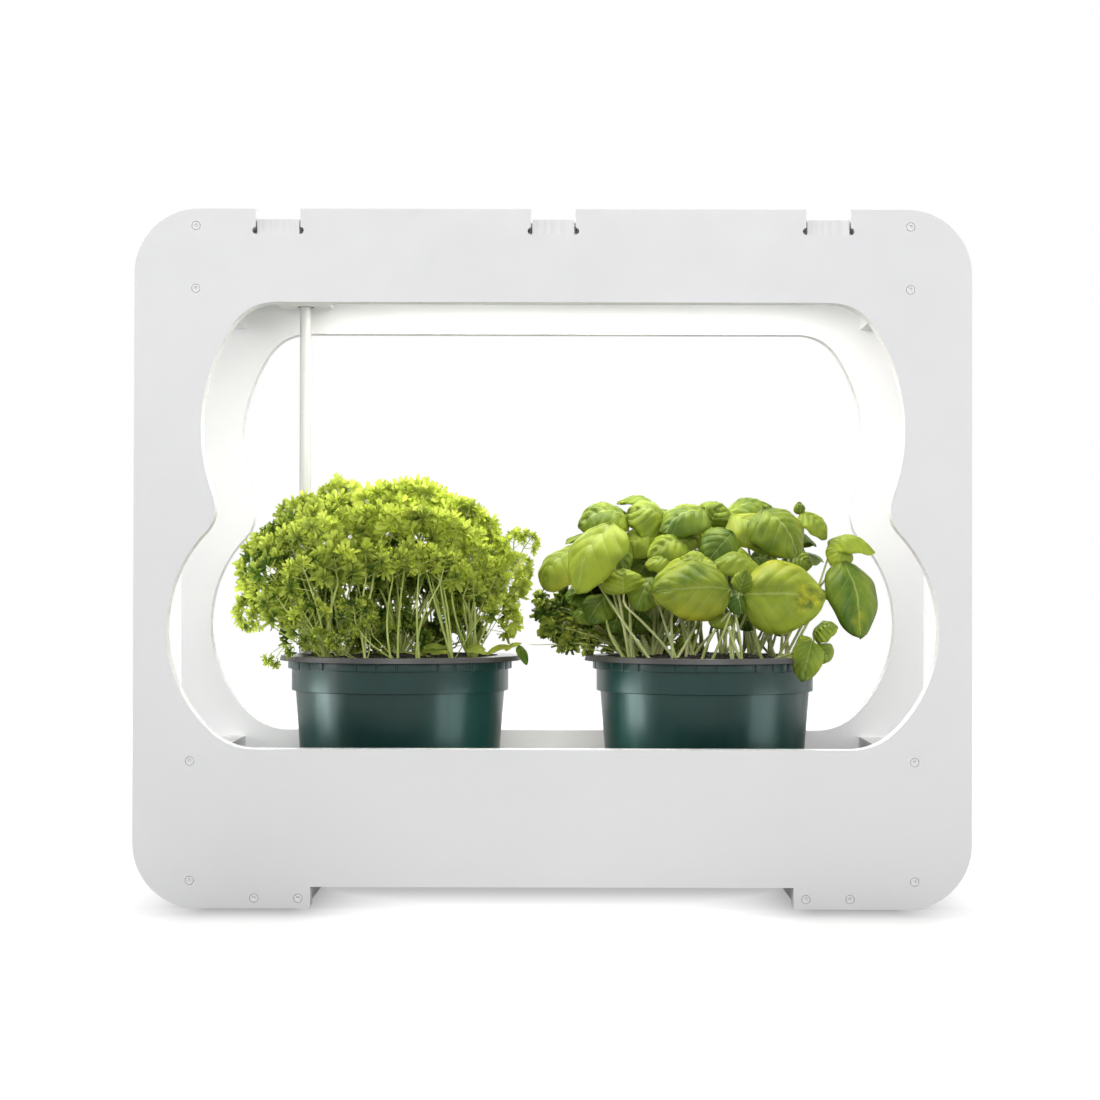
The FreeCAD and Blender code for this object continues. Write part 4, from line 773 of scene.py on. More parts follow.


# The basil's leaves as the photograph shows them, then shaded ones among the stalks. Each has a base and
# a tip (pixel and depth in mm), a width in mm, the way its face points, a tone, an arch and a cup. The tone
# holds painted light and shade, low for the shaded ones.
BASIL_FRONT = (
    ((731, 589, -54), (652, 592, -60), 44, (-0.1, -0.93, 0.35), 0.46, 0.1, 0.45),
    ((716, 564, -42), (648, 600, -46), 36, (-0.2, -0.8, 0.55), 0.73, 0.14, 0.4),
    ((743, 594, -54), (826, 597, -58), 54, (0.08, -0.95, 0.3), 0.5, 0.1, 0.45),
    ((739, 592, -56), (746, 570, -60), 15, (0.0, -0.95, 0.3), 0.48, 0.12, 0.5),
    ((736, 592, -52), (741, 615, -58), 18, (0.1, -0.8, 0.6), 0.08, 0.15, 0.5),
    ((727, 608, -44), (712, 627, -50), 20, (-0.1, -0.9, 0.4), 0.63, 0.15, 0.5),
    ((613, 523, -40), (577, 593, -52), 46, (-0.45, -0.72, 0.52), 0.92, 0.16, 0.55),
    ((579, 546, -22), (543, 588, -30), 50, (-0.65, -0.6, 0.48), 0.53, 0.14, 0.5),
    ((626, 514, -6), (578, 527, -14), 38, (-0.25, -0.66, 0.7), 0.48, 0.22, 0.6),
    ((666, 524, -4), (627, 511, -10), 40, (0.0, -0.74, 0.67), 0.55, 0.22, 0.6),
    ((705, 509, -10), (661, 533, -22), 36, (-0.15, -0.68, 0.72), 0.3, 0.16, 0.6),
    ((710, 526, 8), (722, 503, 4), 31, (0.1, -0.76, 0.64), 0.55, 0.2, 0.6),
    ((706, 522, 2), (693, 547, -6), 25, (0.0, -0.92, 0.35), 0.68, 0.12, 0.5),
    ((734, 524, 12), (695, 545, 6), 30, (-0.1, -0.8, 0.6), 0.13, 0.12, 0.5),
    ((733, 532, -26), (706, 563, -34), 31, (0.1, -0.95, 0.3), 0.2, 0.14, 0.55),
    ((726, 514, 18), (772, 507, 20), 26, (0.0, -0.55, 0.83), 0.43, 0.18, 0.5),
    ((731, 516, -4), (778, 549, -12), 38, (0.0, -0.62, 0.78), 0.55, 0.16, 0.55),
    ((762, 508, -14), (798, 556, -26), 46, (0.3, -0.8, 0.5), 0.27, 0.16, 0.6),
    ((800, 514, -4), (799, 501, -4), 9, (0.1, -0.9, 0.4), 0.43, 0.2, 0.8),
    ((801, 512, -4), (827, 538, -8), 26, (0.45, -0.6, 0.66), 0.73, 0.16, 0.5),
    ((844, 543, -10), (834, 568, -16), 21, (0.2, -0.9, 0.4), 0.63, 0.15, 0.55),
    ((828, 541, -8), (875, 552, -12), 22, (0.2, -0.6, 0.77), 0.73, 0.18, 0.6),
    ((844, 560, -18), (861, 638, -34), 39, (0.3, -0.94, 0.12), 0.14, 0.12, 0.5),
    ((660, 530, -8), (624, 555, -16), 30, (-0.2, -0.8, 0.55), 0.65, 0.16, 0.55),
    ((686, 540, -22), (648, 558, -30), 30, (-0.1, -0.75, 0.65), 0.71, 0.18, 0.6),
    ((650, 557, 6), (636, 579, 2), 25, (0.0, -0.95, 0.3), 0.24, 0.12, 0.5),
    ((676, 562, -30), (645, 566, -36), 20, (-0.1, -0.7, 0.7), 0.73, 0.18, 0.6),
    ((624, 594, -46), (622, 568, -42), 32, (-0.1, -0.6, 0.79), 0.65, 0.24, 0.6),
    ((652, 577, -40), (637, 611, -46), 28, (-0.25, -0.9, 0.35), 0.38, 0.14, 0.55),
    ((710, 566, -36), (680, 559, -40), 26, (0.0, -0.7, 0.7), 0.68, 0.2, 0.6),
    ((760, 567, -34), (710, 566, -38), 29, (0.0, -0.6, 0.8), 0.65, 0.2, 0.6),
    ((750, 557, -24), (724, 552, -26), 17, (0.0, -0.6, 0.8), 0.73, 0.2, 0.6),
    ((750, 557, 12), (779, 563, 10), 20, (0.0, -0.85, 0.5), 0.27, 0.12, 0.5),
    ((813, 632, -44), (838, 627, -50), 22, (0.15, -0.7, 0.7), 0.53, 0.18, 0.6),
    ((815, 644, -46), (829, 661, -52), 22, (0.2, -0.9, 0.4), 0.51, 0.16, 0.5),
    ((812, 640, -55), (802, 681, -61), 22, (-0.05, -0.97, 0.2), 0.53, 0.12, 0.45),
    ((811, 637, -50), (800, 648, -54), 14, (0.0, -0.85, 0.5), 0.85, 0.14, 0.5),
    ((690, 533, -12), (672, 553, -18), 22, (-0.1, -0.8, 0.6), 0.59, 0.18, 0.6),
    ((604, 540, -20), (628, 570, -28), 30, (0.1, -0.85, 0.5), 0.23, 0.14, 0.5),
    ((668, 575, 4), (690, 588, 0), 24, (0.05, -0.9, 0.4), 0.28, 0.14, 0.5),
    ((700, 600, 10), (722, 606, 6), 20, (0.0, -0.85, 0.5), 0.26, 0.14, 0.5),
    ((790, 556, 8), (812, 566, 6), 22, (0.1, -0.85, 0.5), 0.15, 0.14, 0.5),
    ((606, 596, -8), (588, 622, -12), 27, (-0.3, -0.9, 0.3), 0.24, 0.12, 0.5),
    ((598, 604, 6), (574, 620, 2), 24, (-0.3, -0.85, 0.4), 0.22, 0.12, 0.5),
    ((622, 606, -2), (612, 634, -8), 25, (-0.1, -0.92, 0.3), 0.25, 0.12, 0.5),
    ((590, 590, 12), (566, 602, 8), 23, (-0.2, -0.8, 0.5), 0.27, 0.12, 0.5),
    ((640, 612, 4), (634, 634, 0), 22, (0.0, -0.9, 0.4), 0.22, 0.12, 0.5),
    ((664, 606, 14), (670, 626, 10), 20, (0.1, -0.9, 0.4), 0.24, 0.12, 0.5),
    ((752, 612, 14), (742, 630, 10), 18, (0.0, -0.9, 0.4), 0.26, 0.12, 0.5),
    ((778, 620, 16), (790, 634, 12), 18, (0.1, -0.9, 0.4), 0.15, 0.12, 0.5),
)
# Which leaves are yellowed or blemished, by their place in the list, and how much.
BASIL_YELLOW = {0: 0.35, 1: 0.3, 2: 0.35, 7: 0.3, 12: 0.3, 16: 0.7, 17: 0.3, 31: 0.3, 36: 0.6}
BASIL_BLEMISH = {2: 1.0, 19: 0.35, 22: 0.25}
# How many leaves stand behind those.
BASIL_BACK = 54
# Where bunches of stalks leave the soil: pixel and depth in mm.
BASIL_BUNCHES = (
    (612, 655, -30), (640, 657, -48), (655, 656, 8), (676, 657, -36), (690, 658, -20),
    (706, 658, -52), (722, 657, -8), (738, 658, -46), (752, 656, 20), (768, 658, -34),
    (784, 657, -14), (796, 656, -30), (660, 655, 36), (700, 655, 44), (745, 655, 48),
    (780, 655, 34), (630, 655, 22))


def nearest(bases, place, rng):
    """A base near a leaf, so that stalks rise without crossing the whole pot."""
    ranked = sorted(bases, key=lambda base: (base.xy - place.xy * 0.75 - Vector((0.0257, 0.0))).length)
    return ranked[min(len(ranked) - 1, int(rng.random() * 3))]


def basil_plants():
    """The basil: the leaves that the photograph shows, more behind them, and their stalks."""
    rng = random.Random(21)
    bm = start_leaves()
    stems = Stems()
    bases = stalk_bases("right_soil", BASIL_BUNCHES, 56)
    for i, (base_at, tip_at, width, facing, tone, arch, cup) in enumerate(BASIL_FRONT):
        base = seen(*base_at)
        add_leaves(bm, basil_leaf, base, seen(*tip_at), width, facing, tone, arch, cup,
                   BASIL_YELLOW.get(i, 0.0), BASIL_BLEMISH.get(i, 0.0), i)
        add_stalk(stems, nearest(bases, base, rng), base, rng)
    for i in range(BASIL_BACK):
        place, out = back_place(rng)
        length = rng.uniform(24, 46) * MM
        droop = Vector((out.x, out.y, rng.uniform(-0.7, 0.35))).normalized()
        facing = (out * 0.4 + Vector((0, 0, 1.0))).normalized()
        # Low tones here are painted shade on the leaves behind.
        tone = rng.uniform(0.05, 0.52)
        width = length / MM * rng.uniform(0.66, 0.8)
        arch = rng.uniform(0.14, 0.24)
        cup = rng.uniform(0.45, 0.7)
        yellow = rng.choice((0.0, 0.0, 0.1, 0.3))
        add_leaves(bm, basil_leaf, place, place + droop * length, width, facing, tone, arch, cup,
                   yellow, 0.0, 50 + i)
        add_stalk(stems, nearest(bases, place, rng), place, rng)
    piece = keep_piece(
        bm, "basil_foliage", BODY_RIGHT, "basil_leaf", "basil_leaves", materials=(BASIL_UNDER,))
    thicken(piece, 0.35, True)
    stems.make("basil_stalks", BODY_RIGHT, "basil_stem", "basil_stems")


def back_place(rng):
    """A leaf's place on the rear half of the basil, and the way outwards there."""
    turn = rng.uniform(0.12 * math.pi, 0.98 * math.pi)
    rise = rng.uniform(0.0, 1.0)
    reach = 0.3 + 0.7 * math.sqrt(1 - rise ** 2)
    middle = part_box("basil_leaves")
    centre = (middle[0] + middle[1]) / 2
    out = Vector((math.cos(turn), math.sin(turn), 0))
    place = Vector((centre.x + 64 * MM * out.x * reach, 4 * MM + 36 * MM * out.y * reach,
                    centre.z - 32 * MM + 66 * MM * rise))
    return place, out


def add_stalk(stems, root, place, rng):
    """A stalk from the soil to a leaf, with the leaf's own short petiole at its end."""
    bow = jitter(rng, 5)
    node = place + drawn(rng, (-3, 3), (-2, 5), (-3, -8)) * MM
    stems.add(bowed(root + jitter(rng, 4), node, bow) + [place], 2.3, 1.2)


# The shaded foliage low at the basil's left, darkened with painted shade, and the long leaf stalk that
# reaches out of it.

# How many small leaves there are, and how many of those at the left edge.
SHADED_COUNT = 78
SHADED_AT_EDGE = 44


def shaded_foliage():
    """Small lobed leaves on thin stalks, low behind the basil, made dark with painted shade."""
    rng = random.Random(5)
    bm = start_leaves()
    stems = Stems()
    axis = middle_of("right_soil")
    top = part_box("right_soil")[1].z
    for i in range(SHADED_COUNT):
        px = rng.uniform(540, 600) if i < SHADED_AT_EDGE else rng.uniform(600, 700)
        low = 652 - 0.35 * max(0.0, 590 - px)
        py = rng.uniform(594 if px < 590 else 600, low)
        place = seen(px, py, rng.uniform(14, 46))
        if place.x < 34 * MM:
            place = seen(px, py, rng.uniform(12, 30))
        tilt = drawn(rng, (-0.8, 0.4), (-0.9, 0.1), (-0.2, 0.9)).normalized()
        along = drawn(rng, (-1, 0.3), (-0.5, 0.5), (-0.6, 0.5)).normalized()
        # Low tones are painted shade, deepest at the left edge.
        tone = rng.uniform(0.12, 0.48) if px < 570 else rng.uniform(0.4, 0.8)
        add_leaves(bm, sprig, place, along, tilt, rng.uniform(8.5, 11.5) * MM, rng, tone)
        root = Vector((axis.x - rng.uniform(18, 50) * MM, rng.uniform(5, 34) * MM, top - 4.5 * MM))
        stems.add(bowed(root, place, Vector((-3, 0, 4)) * MM), 1.1, 0.6)
    tendril = (seen(566, 646, 16), seen(552, 644, 14), seen(540, 645, 12), seen(530, 644.5, 10))
    stems.add([root, *tendril], 0.8, 0.5)
    piece = keep_piece(bm, "shaded_foliage", BODY_RIGHT, "parsley_leaf")
    thicken(piece, 0.3, False)
    stems.make("shaded_stalks", BODY_RIGHT, "parsley_stem")


# Parsley.

LOBE_STEPS = 13
# A leaflet: degrees to each side, curl and sag as parts of its length, and how far lobes and valleys reach.
LEAFLET_SPREAD = (58, 86)
LEAFLET_CURL = (0.16, 0.42)
LEAFLET_SAG = (-0.1, 0.4)
LOBE_REACH = (0.84, 1.08)
VALLEY_REACH = 0.5
# A sprig: its leaflets, the degrees between them, and how its tone and theirs differ.
SPRIG_LEAFLETS = 4
SPRIG_STEP = 54
SPRIG_TONES = (-0.38, 0.34)
LEAFLET_TONES = (-0.3, 0.3)


def leaflet(bm, base, along, out, size, rng, tone):
    """A curled fan of five blunt lobes, from a narrow foot."""
    look = bm.verts.layers.float_vector["look"]
    aside = out.cross(along)
    spread = math.radians(rng.uniform(*LEAFLET_SPREAD))
    curl = rng.uniform(*LEAFLET_CURL)
    phase = rng.uniform(0, math.tau)
    sag = rng.uniform(*LEAFLET_SAG)
    lobes = [rng.uniform(*LOBE_REACH) for _ in range(5)]
    grid = bmesh.ops.create_grid(bm, x_segments=LOBE_STEPS, y_segments=2, size=1.0, calc_uvs=True)
    for vert in grid["verts"]:
        fan = vert.co.x
        part = (vert.co.y + 1) / 2
        column = round((fan + 1) / 2 * LOBE_STEPS)
        corner = column % 3
        reach = 0.08 + 0.92 * part * (0.76 + 0.24 * math.cos(fan * 1.6))
        if part > 0.9:
            reach *= lobes[min(4, column // 3)] * (VALLEY_REACH if corner == 2 else 1.0)
            fan += (-0.006, 0.006, 0.0)[corner]
        angle = spread * fan * (0.35 + 0.65 * part)
        height = curl * part * math.sin(fan * 7.0 + phase) - sag * part * part
        shape = along * math.cos(angle) * reach + aside * math.sin(angle) * reach + out * height
        vert.co = base + shape * size
        vert[look] = (tone - 0.26 + 0.52 * part, 0.0, 0.0)


def sprig(bm, place, along, out, size, rng, tone):
    """A tuft of leaflets that spread from one point and curl out of its plane."""
    along = along.normalized()
    out = (out - along * out.dot(along)).normalized()
    tone += rng.uniform(*SPRIG_TONES)
    for i in range(SPRIG_LEAFLETS):
        off_middle = i - (SPRIG_LEAFLETS - 1) / 2
        turn = math.radians(off_middle * SPRIG_STEP + rng.uniform(-12, 12))
        tilt = math.radians(rng.uniform(-36, 36))
        direction = Matrix.Rotation(turn, 3, out) @ along
        aside = out.cross(direction)
        direction = Matrix.Rotation(tilt, 3, aside) @ direction
        face = direction.cross(aside).normalized()
        length = size * rng.uniform(0.72, 1.08) * (1.0 - 0.1 * abs(off_middle))
        leaflet(bm, place, direction, face, length, rng, tone + rng.uniform(*LEAFLET_TONES))


def frond(bm, stems, root, place, along, out, size, rng, tone):
    """A compound leaf: a petiole from the soil, a rachis with side branches, a tuft on each."""
    along = along.normalized()
    out = (out - along * out.dot(along)).normalized()
    aside = out.cross(along)
    tip = place + along * size * 0.62
    bow = jitter(rng, 5)
    stems.add(bowed(root, place, bow), min(1.9, size / MM * 0.07), min(1.1, size / MM * 0.045))
    under = out * size * -0.035
    stems.add([place, place.lerp(tip, 0.5) + under, tip + under], 1.0, 0.6)
    sprig(bm, tip, along, out, size * 0.36, rng, tone)
    for part, reach in ((0.05, 0.5), (0.45, 0.44), (0.8, 0.3)):
        start = place.lerp(tip, part)
        for side in (-1, 1):
            way = (along * 0.55 + aside * side + out * rng.uniform(-0.35, 0.35)).normalized()
            end = start + way * size * reach * rng.uniform(0.8, 1.1)
            stems.add([start + under, start.lerp(end, 0.5) + under, end + under], 0.6, 0.4)
            sprig(bm, end, way, out, size * rng.uniform(0.28, 0.36), rng, tone)


# Heads that make the parsley's outline: top (pixel and depth in mm), size in mm, lean to the right, tone.
# The tone holds painted light and shade: high at the top, lower down the sides and at the base.
PARSLEY_HEADS = (
    ((334, 483, 20), 30, -0.15, 0.8), ((310, 497, 10), 26, -0.2, 0.7), ((292, 500, 6), 28, -0.4, 0.55),
    ((270, 526, -8), 30, -0.6, 0.5), ((254, 537, -14), 26, -0.8, 0.45), ((243, 556, -22), 28, -0.9, 0.42),
    ((242, 580, -30), 26, -1.0, 0.4), ((238, 604, -34), 24, -1.2, 0.35), ((262, 560, -42), 32, -0.5, 0.45),
    ((282, 530, -30), 32, -0.35, 0.6), ((310, 520, -38), 32, -0.2, 0.6), ((364, 492, -6), 28, -0.15, 0.85),
    ((380, 485, -20), 30, -0.05, 1.0), ((398, 485, -10), 30, 0.0, 1.0), ((416, 480, -16), 32, 0.05, 1.1),
    ((430, 486, -20), 30, 0.15, 1.0), ((455, 497, -12), 30, 0.2, 0.95), ((472, 503, -18), 30, 0.3, 0.85),
    ((486, 515, -16), 28, 0.4, 0.8), ((497, 534, -22), 26, 0.5, 0.85), ((352, 510, -32), 32, -0.1, 0.8),
    ((380, 508, -40), 32, 0.0, 0.95), ((410, 510, -44), 34, 0.05, 1.0), ((440, 512, -42), 32, 0.15, 0.85),
    ((464, 524, -38), 32, 0.3, 0.75), ((484, 545, -40), 24, 0.4, 0.7), ((516, 530, -30), 18, 0.1, 1.0),
    ((533, 534, -34), 15, 0.5, 0.9), ((524, 556, -36), 14, 0.4, 0.75), ((510, 556, -30), 15, 0.1, 0.65),
    ((531, 568, -26), 9, 0.6, 0.5), ((499, 572, -32), 16, 0.4, 0.6), ((272, 590, -46), 28, -0.5, 0.4),
    ((300, 560, -50), 30, -0.25, 0.45), ((332, 548, -50), 32, -0.1, 0.55), ((365, 545, -50), 30, 0.0, 0.65),
    ((300, 606, -44), 24, -0.4, 0.25), ((472, 574, -40), 22, 0.3, 0.6), ((448, 552, -46), 28, 0.2, 0.68),
    ((420, 545, -50), 28, 0.05, 0.75), ((392, 550, -52), 26, 0.0, 0.65), ((352, 600, -48), 20, -0.1, 0.25),
    ((250, 612, -40), 18, -1.2, 0.3))
# Small fronds near the soil, told in the same way.
PARSLEY_LOW = (
    ((314, 632, -44), 14, -0.7, 0.4), ((332, 634, -46), 13, -0.4, 0.35), ((352, 626, -42), 13, 0.3, 0.25),
    ((368, 620, -46), 15, -0.2, 0.3), ((360, 600, -46), 16, -0.1, 0.3), ((304, 640, -40), 11, -0.9, 0.3),
    ((340, 641, -50), 9, -0.3, 0.3))
# What is added to the tone of the upper and of the low fronds; the smaller lift of the low fronds is painted
# shade.
PARSLEY_LIFT = 0.32
PARSLEY_LOW_LIFT = 0.17
PARSLEY_BUNCHES = (
    (317, 645, -30), (340, 652, -10), (363, 656, -44), (396, 655, -50), (418, 656, -52),
    (450, 650, -38), (492, 650, -22), (470, 650, 10), (400, 648, 0), (350, 648, 30),
    (430, 648, 36), (385, 648, 48), (322, 648, 12))


# The parsley's outline, in pixels.
PARSLEY_TOPS = (
    (245, 552), (270, 528), (297, 503), (333, 492), (350, 504), (368, 494), (400, 486), (430, 488),
    (455, 500), (485, 516), (505, 540), (535, 560))


def between_points(points, x):
    """The height of a line through points at x."""
    for (x0, y0), (x1, y1) in zip(points, points[1:]):
        if x <= x1:
            return y0 + (y1 - y0) * (x - x0) / (x1 - x0)
    return points[-1][1]


def parsley_fill(rng):
    """Fronds that fill the parsley behind its outline, in layers from the front to the back."""
    heads = []
    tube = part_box("conduit_tube")[0].xy
    for depth, columns in ((-22, 7), (4, 9), (28, 8), (48, 6)):
        for column in range(columns):
            px = 262 + (520 - 262) * (column + rng.uniform(0.2, 0.8)) / columns
            for layer in range(2):
                sink = 10 + 42 * layer + 14 * (depth / 48) ** 2 + rng.uniform(-4, 8)
                at = depth + rng.uniform(-8, 8)
                place = seen(px + rng.uniform(-8, 8), between_points(PARSLEY_TOPS, px) + sink, at)
                if (place.xy - tube).length < 24 * MM:
                    continue
                lean = Vector(((px - 390) / 200, at / 60, 1.0 - 0.35 * layer))
                # Painted shade: darker in the lower layer and away from the middle.
                tone = 0.85 - 0.3 * layer - 0.1 * abs(px - 400) / 100 + rng.uniform(-0.15, 0.15)
                heads.append((place, rng.uniform(28, 36) * MM, lean, tone))
    return heads


def parsley_inner(rng):
    """Fronds low among the stems, with low tones for painted shade."""
    heads = []
    for depth, columns in ((-8, 6), (16, 7), (38, 6)):
        for column in range(columns):
            for py in (588, 620):
                px = 284 + (478 - 284) * (column + rng.uniform(0.1, 0.9)) / columns
                place = seen(px, py + rng.uniform(-12, 12), depth + rng.uniform(-8, 8))
                lean = drawn(rng, (-0.5, 0.5), (-0.5, 0.2)).to_3d() + Vector((0, 0, 1.0))
                heads.append((place, rng.uniform(22, 28) * MM, lean, rng.uniform(0.0, 0.3)))
    return heads


def grow_fronds(heads, stems, rng, lift):
    """A bmesh of fronds whose tops are at the heads, with their stalks from the nearest bunches."""
    bm = start_leaves()
    bases = stalk_bases("left_soil", PARSLEY_BUNCHES, 54)
    centre = middle_of("left_soil")
    for place, size, lean, tone in heads:
        ranked = sorted(bases, key=lambda base: (base.xy - centre.xy.lerp(place.xy, 0.55)).length)
        root = ranked[int(rng.random() * 2)] + jitter(rng, 3)
        away = (place - centre) * Vector((1, 1, 0))
        facing = away.normalized() * 0.5 + Vector((0, -0.45, 1.0))
        along = Vector((lean.x, lean.y, 0.75)).normalized()
        start = place - along * size * 0.8
        start.z = max(start.z, root.z + 3 * MM)
        add_leaves(bm, frond, stems, root, start, along, facing, size, rng, lift + 0.55 * tone)
    return bm


def parsley_plants():
    """The parsley: the heads of its outline, more fronds behind and within, and their stalks."""
    rng = random.Random(8)
    stems = Stems()
    heads = [(seen(*place), size * MM, Vector((lean, -0.25 if place[2] < -20 else 0.05, 1.0)), tone)
             for place, size, lean, tone in PARSLEY_HEADS]
    upper = grow_fronds(heads + parsley_fill(rng), stems, rng, PARSLEY_LIFT)
    low = [(seen(*place), size * MM, Vector((lean, -0.3, 0.7)), tone)
           for place, size, lean, tone in PARSLEY_LOW]
    lower = grow_fronds(low + parsley_inner(rng), stems, rng, PARSLEY_LOW_LIFT)
    add_loose_leaves(lower, stems, rng)
    keep_piece(upper, "parsley_foliage", BODY_LEFT, "parsley_leaf", "parsley_leaves")
    keep_piece(lower, "parsley_low_foliage", BODY_LEFT, "parsley_leaf")
    stems.make("parsley_stalks", BODY_LEFT, "parsley_stem", "parsley_stems")


# Leaves that lie on the soil and over the rim: foot and tip (pixel and depth in mm), width in mm, tone
# and yellowing. The sprigs have no yellowing.
LOOSE_LEAVES = (
    ((424, 647, -46), (447, 648, -52), 7, 0.5, 0.3), ((448, 651, -48), (431, 654, -52), 6, 0.55, 0.35),
    ((422, 650, -40), (440, 653, -44), 6, 0.45, 0.3), ((466, 649, -46), (488, 654, -50), 7, 0.5, 0.95),
    ((486, 654, -46), (513, 646, -50), 7, 0.55, 1.0), ((470, 645, -40), (486, 650, -44), 6, 0.45, 0.6),
    ((505, 650, -38), (522, 643, -42), 6, 0.6, 0.9), ((519, 645, -38), (527, 665, -46), 8, 0.2, 0.0))
RIM_SPRIGS = (
    ((272, 650, -50), (268, 659, -52), 6.5, 0.35), ((276, 655, -52), (275, 663, -54), 6.0, 0.3),
    ((300, 650, -46), (292, 652, -48), 7.0, 0.25))


def add_loose_leaves(bm, stems, rng):
    """Single leaves on the soil and over the rim."""
    for i, (base_at, tip_at, width, tone, yellow) in enumerate(LOOSE_LEAVES):
        facing = (0.1, -0.45, 0.9) if tip_at[1] < 660 else (0.3, -0.9, 0.3)
        add_leaves(bm, basil_leaf, seen(*base_at), seen(*tip_at), width, facing, tone, 0.14, 0.9,
                   yellow, 0.0, i)
    for base_at, tip_at, size, tone in RIM_SPRIGS:
        base = seen(*base_at)
        tip = seen(*tip_at)
        add_leaves(bm, sprig, tip, tip - base, Vector((0, -0.8, 0.5)), size * MM, rng, tone)
        stems.add([seen(288, 645, base_at[2] + 4), base, tip], 0.7, 0.5)


# The camera, the lamps and the floor. Powers are in W and other values in m.

# Large soft lamps: azimuth in degrees to the right of the camera's side, distance, height, width,
# tallness and power.
SOFTBOXES = (
    ("left_softbox", -74, 1.5, 0.45, 0.5, 1.1, 11.0), ("right_softbox", 47, 1.6, 0.5, 0.4, 1.1, 5.5),
    ("front_softbox", 0, 2.0, 0.85, 1.4, 0.8, 18.0), ("rear_softbox", 180, 2.0, 0.85, 1.4, 0.8, 11.0),
    ("side_softbox", 100, 1.6, 0.4, 0.5, 0.8, 4.0))
SOFTBOX_AIM = Vector((0, 0, 0.2))
# The lamps beside a pot: azimuth in degrees, distance from the pot's axis, width and power.
SHEEN_LAMPS = (("left", -66, 0.125, 0.045, 0.06), ("right", 43, 0.1, 0.04, 0.02))
SHEEN_RISE = 84 * MM
SHEEN_TALL = 0.04
SHEEN_COLOR = (0.8, 1.0, 0.97)
# The lamps between the panels: the side that each is on, and its power.
INNER_LIGHTS = ((-1, 0.09), (1, 0.05))
# How much of the white world lights the object, the floor's own glow and its colour.
WORLD_LIGHT = 0.16
FLOOR_GLOW = 0.95
FLOOR_COLOR = (0.4, 0.4, 0.4)
# The painted shadow on the floor at the feet and under the middle, and how far in m each takes to fade.
FOOT_PAINTED_SHADOW = 0.75
FOOT_FADE = 0.075
UNDER_PAINTED_SHADOW = 0.49
UNDER_FADE = 0.06


def set_camera():
    """The photograph's camera."""
    data = bpy.data.cameras.new("view")
    data.sensor_width = SENSOR_WIDTH
    data.sensor_fit = "HORIZONTAL"
    data.lens = FOCAL_PIXELS * SENSOR_WIDTH / FRAME_PIXELS
    camera = bpy.data.objects.new("view", data)
    camera.location = CAMERA_PLACE
    turns = [Matrix.Rotation(math.radians(angle), 4, axis)
             for angle, axis in ((CAMERA_TURN, "Z"), (CAMERA_PITCH, "X"), (CAMERA_ROLL, "Z"))]
    camera.rotation_euler = (turns[0] @ turns[1] @ turns[2]).to_euler()
    show(camera)
    bpy.context.scene.camera = camera


def area_lamp(name, place, target, width, tall, power):
    """A rectangular lamp that faces a point and isn't seen itself."""
    data = bpy.data.lights.new(name, "AREA")
    data.shape = "RECTANGLE"
    data.size = width
    data.size_y = tall
    data.energy = power
    lamp = bpy.data.objects.new(name, data)
    lamp.location = place
    lamp.rotation_euler = (target - lamp.location).to_track_quat("-Z", "Y").to_euler()
    lamp.visible_camera = False
    show(lamp)
    return lamp


def toward(azimuth):
    """The level direction at an azimuth."""
    turn = math.radians(azimuth)
    return Vector((math.sin(turn), -math.cos(turn), 0))


def soft_lamps():
    """Large lamps around the object and one above it."""
    for name, azimuth, distance, height, width, tall, power in SOFTBOXES:
        place = toward(azimuth) * distance + Vector((0, 0, height))
        area_lamp(name, place, SOFTBOX_AIM, width, tall, power)
    area_lamp("top_softbox", Vector((0, 0, 1.8)), Vector((0, 0, 0.44)), 1.0, 0.7, 7.0)


def sheen_lamps(side, pot):
    """Two upright strip lamps beside a pot that show only in its gloss."""
    axis = middle_of(pot) + Vector((0, 0, SHEEN_RISE))
    for name, azimuth, reach, width, power in SHEEN_LAMPS:
        place = axis + toward(azimuth) * reach
        lamp = area_lamp(f"{side}_pot_{name}_sheen", place, axis, width, SHEEN_TALL, power)
        lamp.visible_diffuse = False
        lamp.data.color = SHEEN_COLOR


def inner_lamps():
    """Light between the panels, which the white boards and the trough send back and forth."""
    for side, power in INNER_LIGHTS:
        place = Vector((side * 0.213, -0.086, 0.22))
        area_lamp("inner_light", place, place + Vector((0, 1, 0)), 0.02, 0.25, power)
    place = Vector((0, -0.086, 0.105))
    lamp = area_lamp("trough_light", place, Vector((0, 0.088, 0.08)), 0.03, 0.02, 0.055)
    lamp.visible_glossy = False
    lamp.data.color = (1.0, 0.93, 0.85)


def lid_lamp():
    """Light that the diffuser sends sideways, under the lid, onto the rear panel."""
    low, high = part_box("lamp_diffuser")
    place = Vector(((low.x + high.x) / 4, high.y, low.z - 9 * MM))
    area_lamp("diffuser_side", place, place + Vector((0, 1, -0.1)), 0.41, 0.01, 0.05)


def direct_rays(nodes):
    """A value of one for what the camera sees, straight, in a reflection or through glass."""
    path = nodes.new("LightPath").outputs
    direct = nodes.larger(path["Is Camera Ray"], path["Is Glossy Ray"])
    return nodes.larger(direct, path["Is Transmission Ray"])


def set_world():
    """A white backdrop that lights the object less than it shows."""
    nodes = Nodes(bpy.data.worlds.new("studio"), "Background")
    bpy.context.scene.world = nodes.owner
    nodes.feed(nodes.shader.inputs["Color"], (1.0, 1.0, 1.0))
    strength = nodes.ranged(direct_rays(nodes), 0.0, 1.0, WORLD_LIGHT, 1.0)
    nodes.feed(nodes.shader.inputs["Strength"], strength)


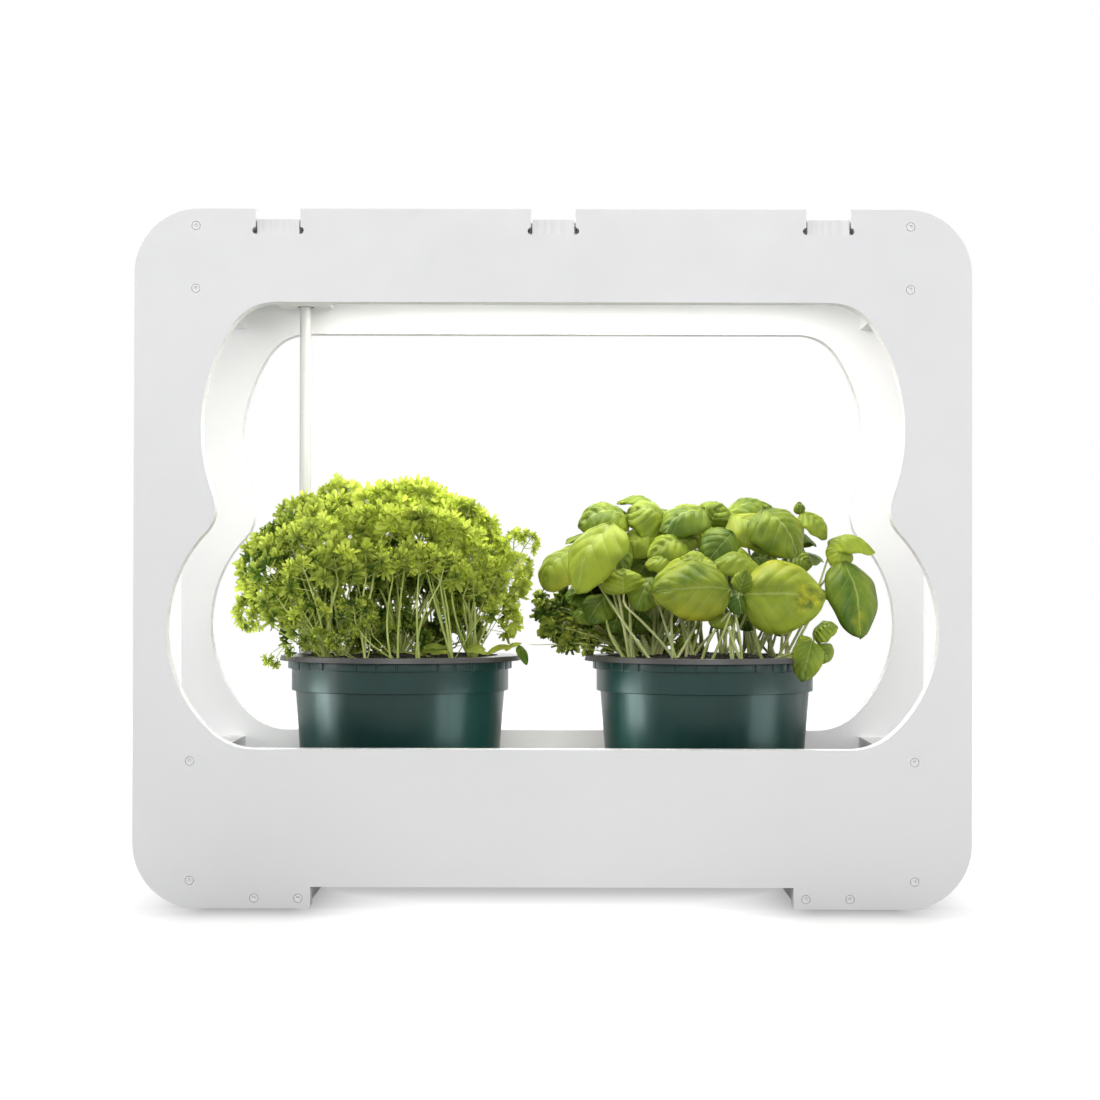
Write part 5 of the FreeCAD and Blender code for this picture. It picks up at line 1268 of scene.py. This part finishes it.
def painted_floor_shadow(nodes):
    """A painted shadow for the floor: one where the floor is open, less under the object and around its feet.
    """
    low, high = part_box("right_foot_bar")
    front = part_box("rear_panel")[1].y
    place = nodes.split(nodes.coordinate("Object"))
    aside = nodes.calculated("ABSOLUTE", place["X"])
    ahead = nodes.calculated("ABSOLUTE", place["Y"])
    inner = nodes.minus(low.x + 10 * MM, aside)
    outer = nodes.minus(aside, high.x + 22 * MM)
    past_side = nodes.times(nodes.larger(nodes.larger(inner, outer), 0.0), 2.0)
    past_front = nodes.larger(nodes.minus(ahead, front - 4 * MM), 0.0)
    away = nodes.plus(nodes.times(past_side, past_side), nodes.times(past_front, past_front))
    away = nodes.calculated("SQRT", away)
    painted_foot_shadow = nodes.calculated("EXPONENT", nodes.times(away, -1 / FOOT_FADE))
    under = nodes.calculated("EXPONENT", nodes.times(nodes.times(ahead, ahead), -1 / UNDER_FADE ** 2))
    side_fade = nodes.ranged(aside, high.x + 40 * MM, high.x + 80 * MM, UNDER_PAINTED_SHADOW, 0.0)
    return nodes.minus(1.0, nodes.larger(nodes.times(painted_foot_shadow, FOOT_PAINTED_SHADOW), nodes.times(under, side_fade)))


def set_floor():
    """A plain pale floor that keeps the object's shadow, has a painted shadow at its feet and under its
    middle in its colour and glow, and shows white around it.
    """
    bm = bmesh.new()
    bmesh.ops.create_grid(bm, x_segments=1, y_segments=1, size=12.0)
    mesh = bpy.data.meshes.new("floor")
    bm.to_mesh(mesh)
    bm.free()
    floor = bpy.data.objects.new("floor", mesh)
    show(floor)
    nodes = start_material("pale_floor", FLOOR_COLOR, 0.9, Specular_IOR_Level=0.0)
    light = painted_floor_shadow(nodes)
    # The painted shadow darkens both the floor's colour and its glow.
    nodes.shade(light, (0.0, 0.0, 0.0), FLOOR_COLOR)
    glow = nodes.new("Emission")
    strength = nodes.times(nodes.times(light, FLOOR_GLOW), direct_rays(nodes))
    nodes.feed(glow.inputs["Strength"], strength)
    nodes.join("AddShader", glow)
    mesh.materials.append(nodes.owner)


set_camera()
bpy.context.scene.view_settings.view_transform = "Standard"
finish_cad()
pot_shell("left_pot", "left_pot_shell", "left_outer_pot")
pot_shell("right_pot", "right_pot_shell", "right_outer_pot")
soil_heap("left_soil", "left_soil_heap", BODY_LEFT, 3)
soil_heap("right_soil", "right_soil_heap", BODY_RIGHT, 4)
parsley_plants()
basil_plants()
shaded_foliage()
set_world()
set_floor()
soft_lamps()
sheen_lamps("left", "left_pot")
sheen_lamps("right", "right_pot")
lid_lamp()
inner_lamps()
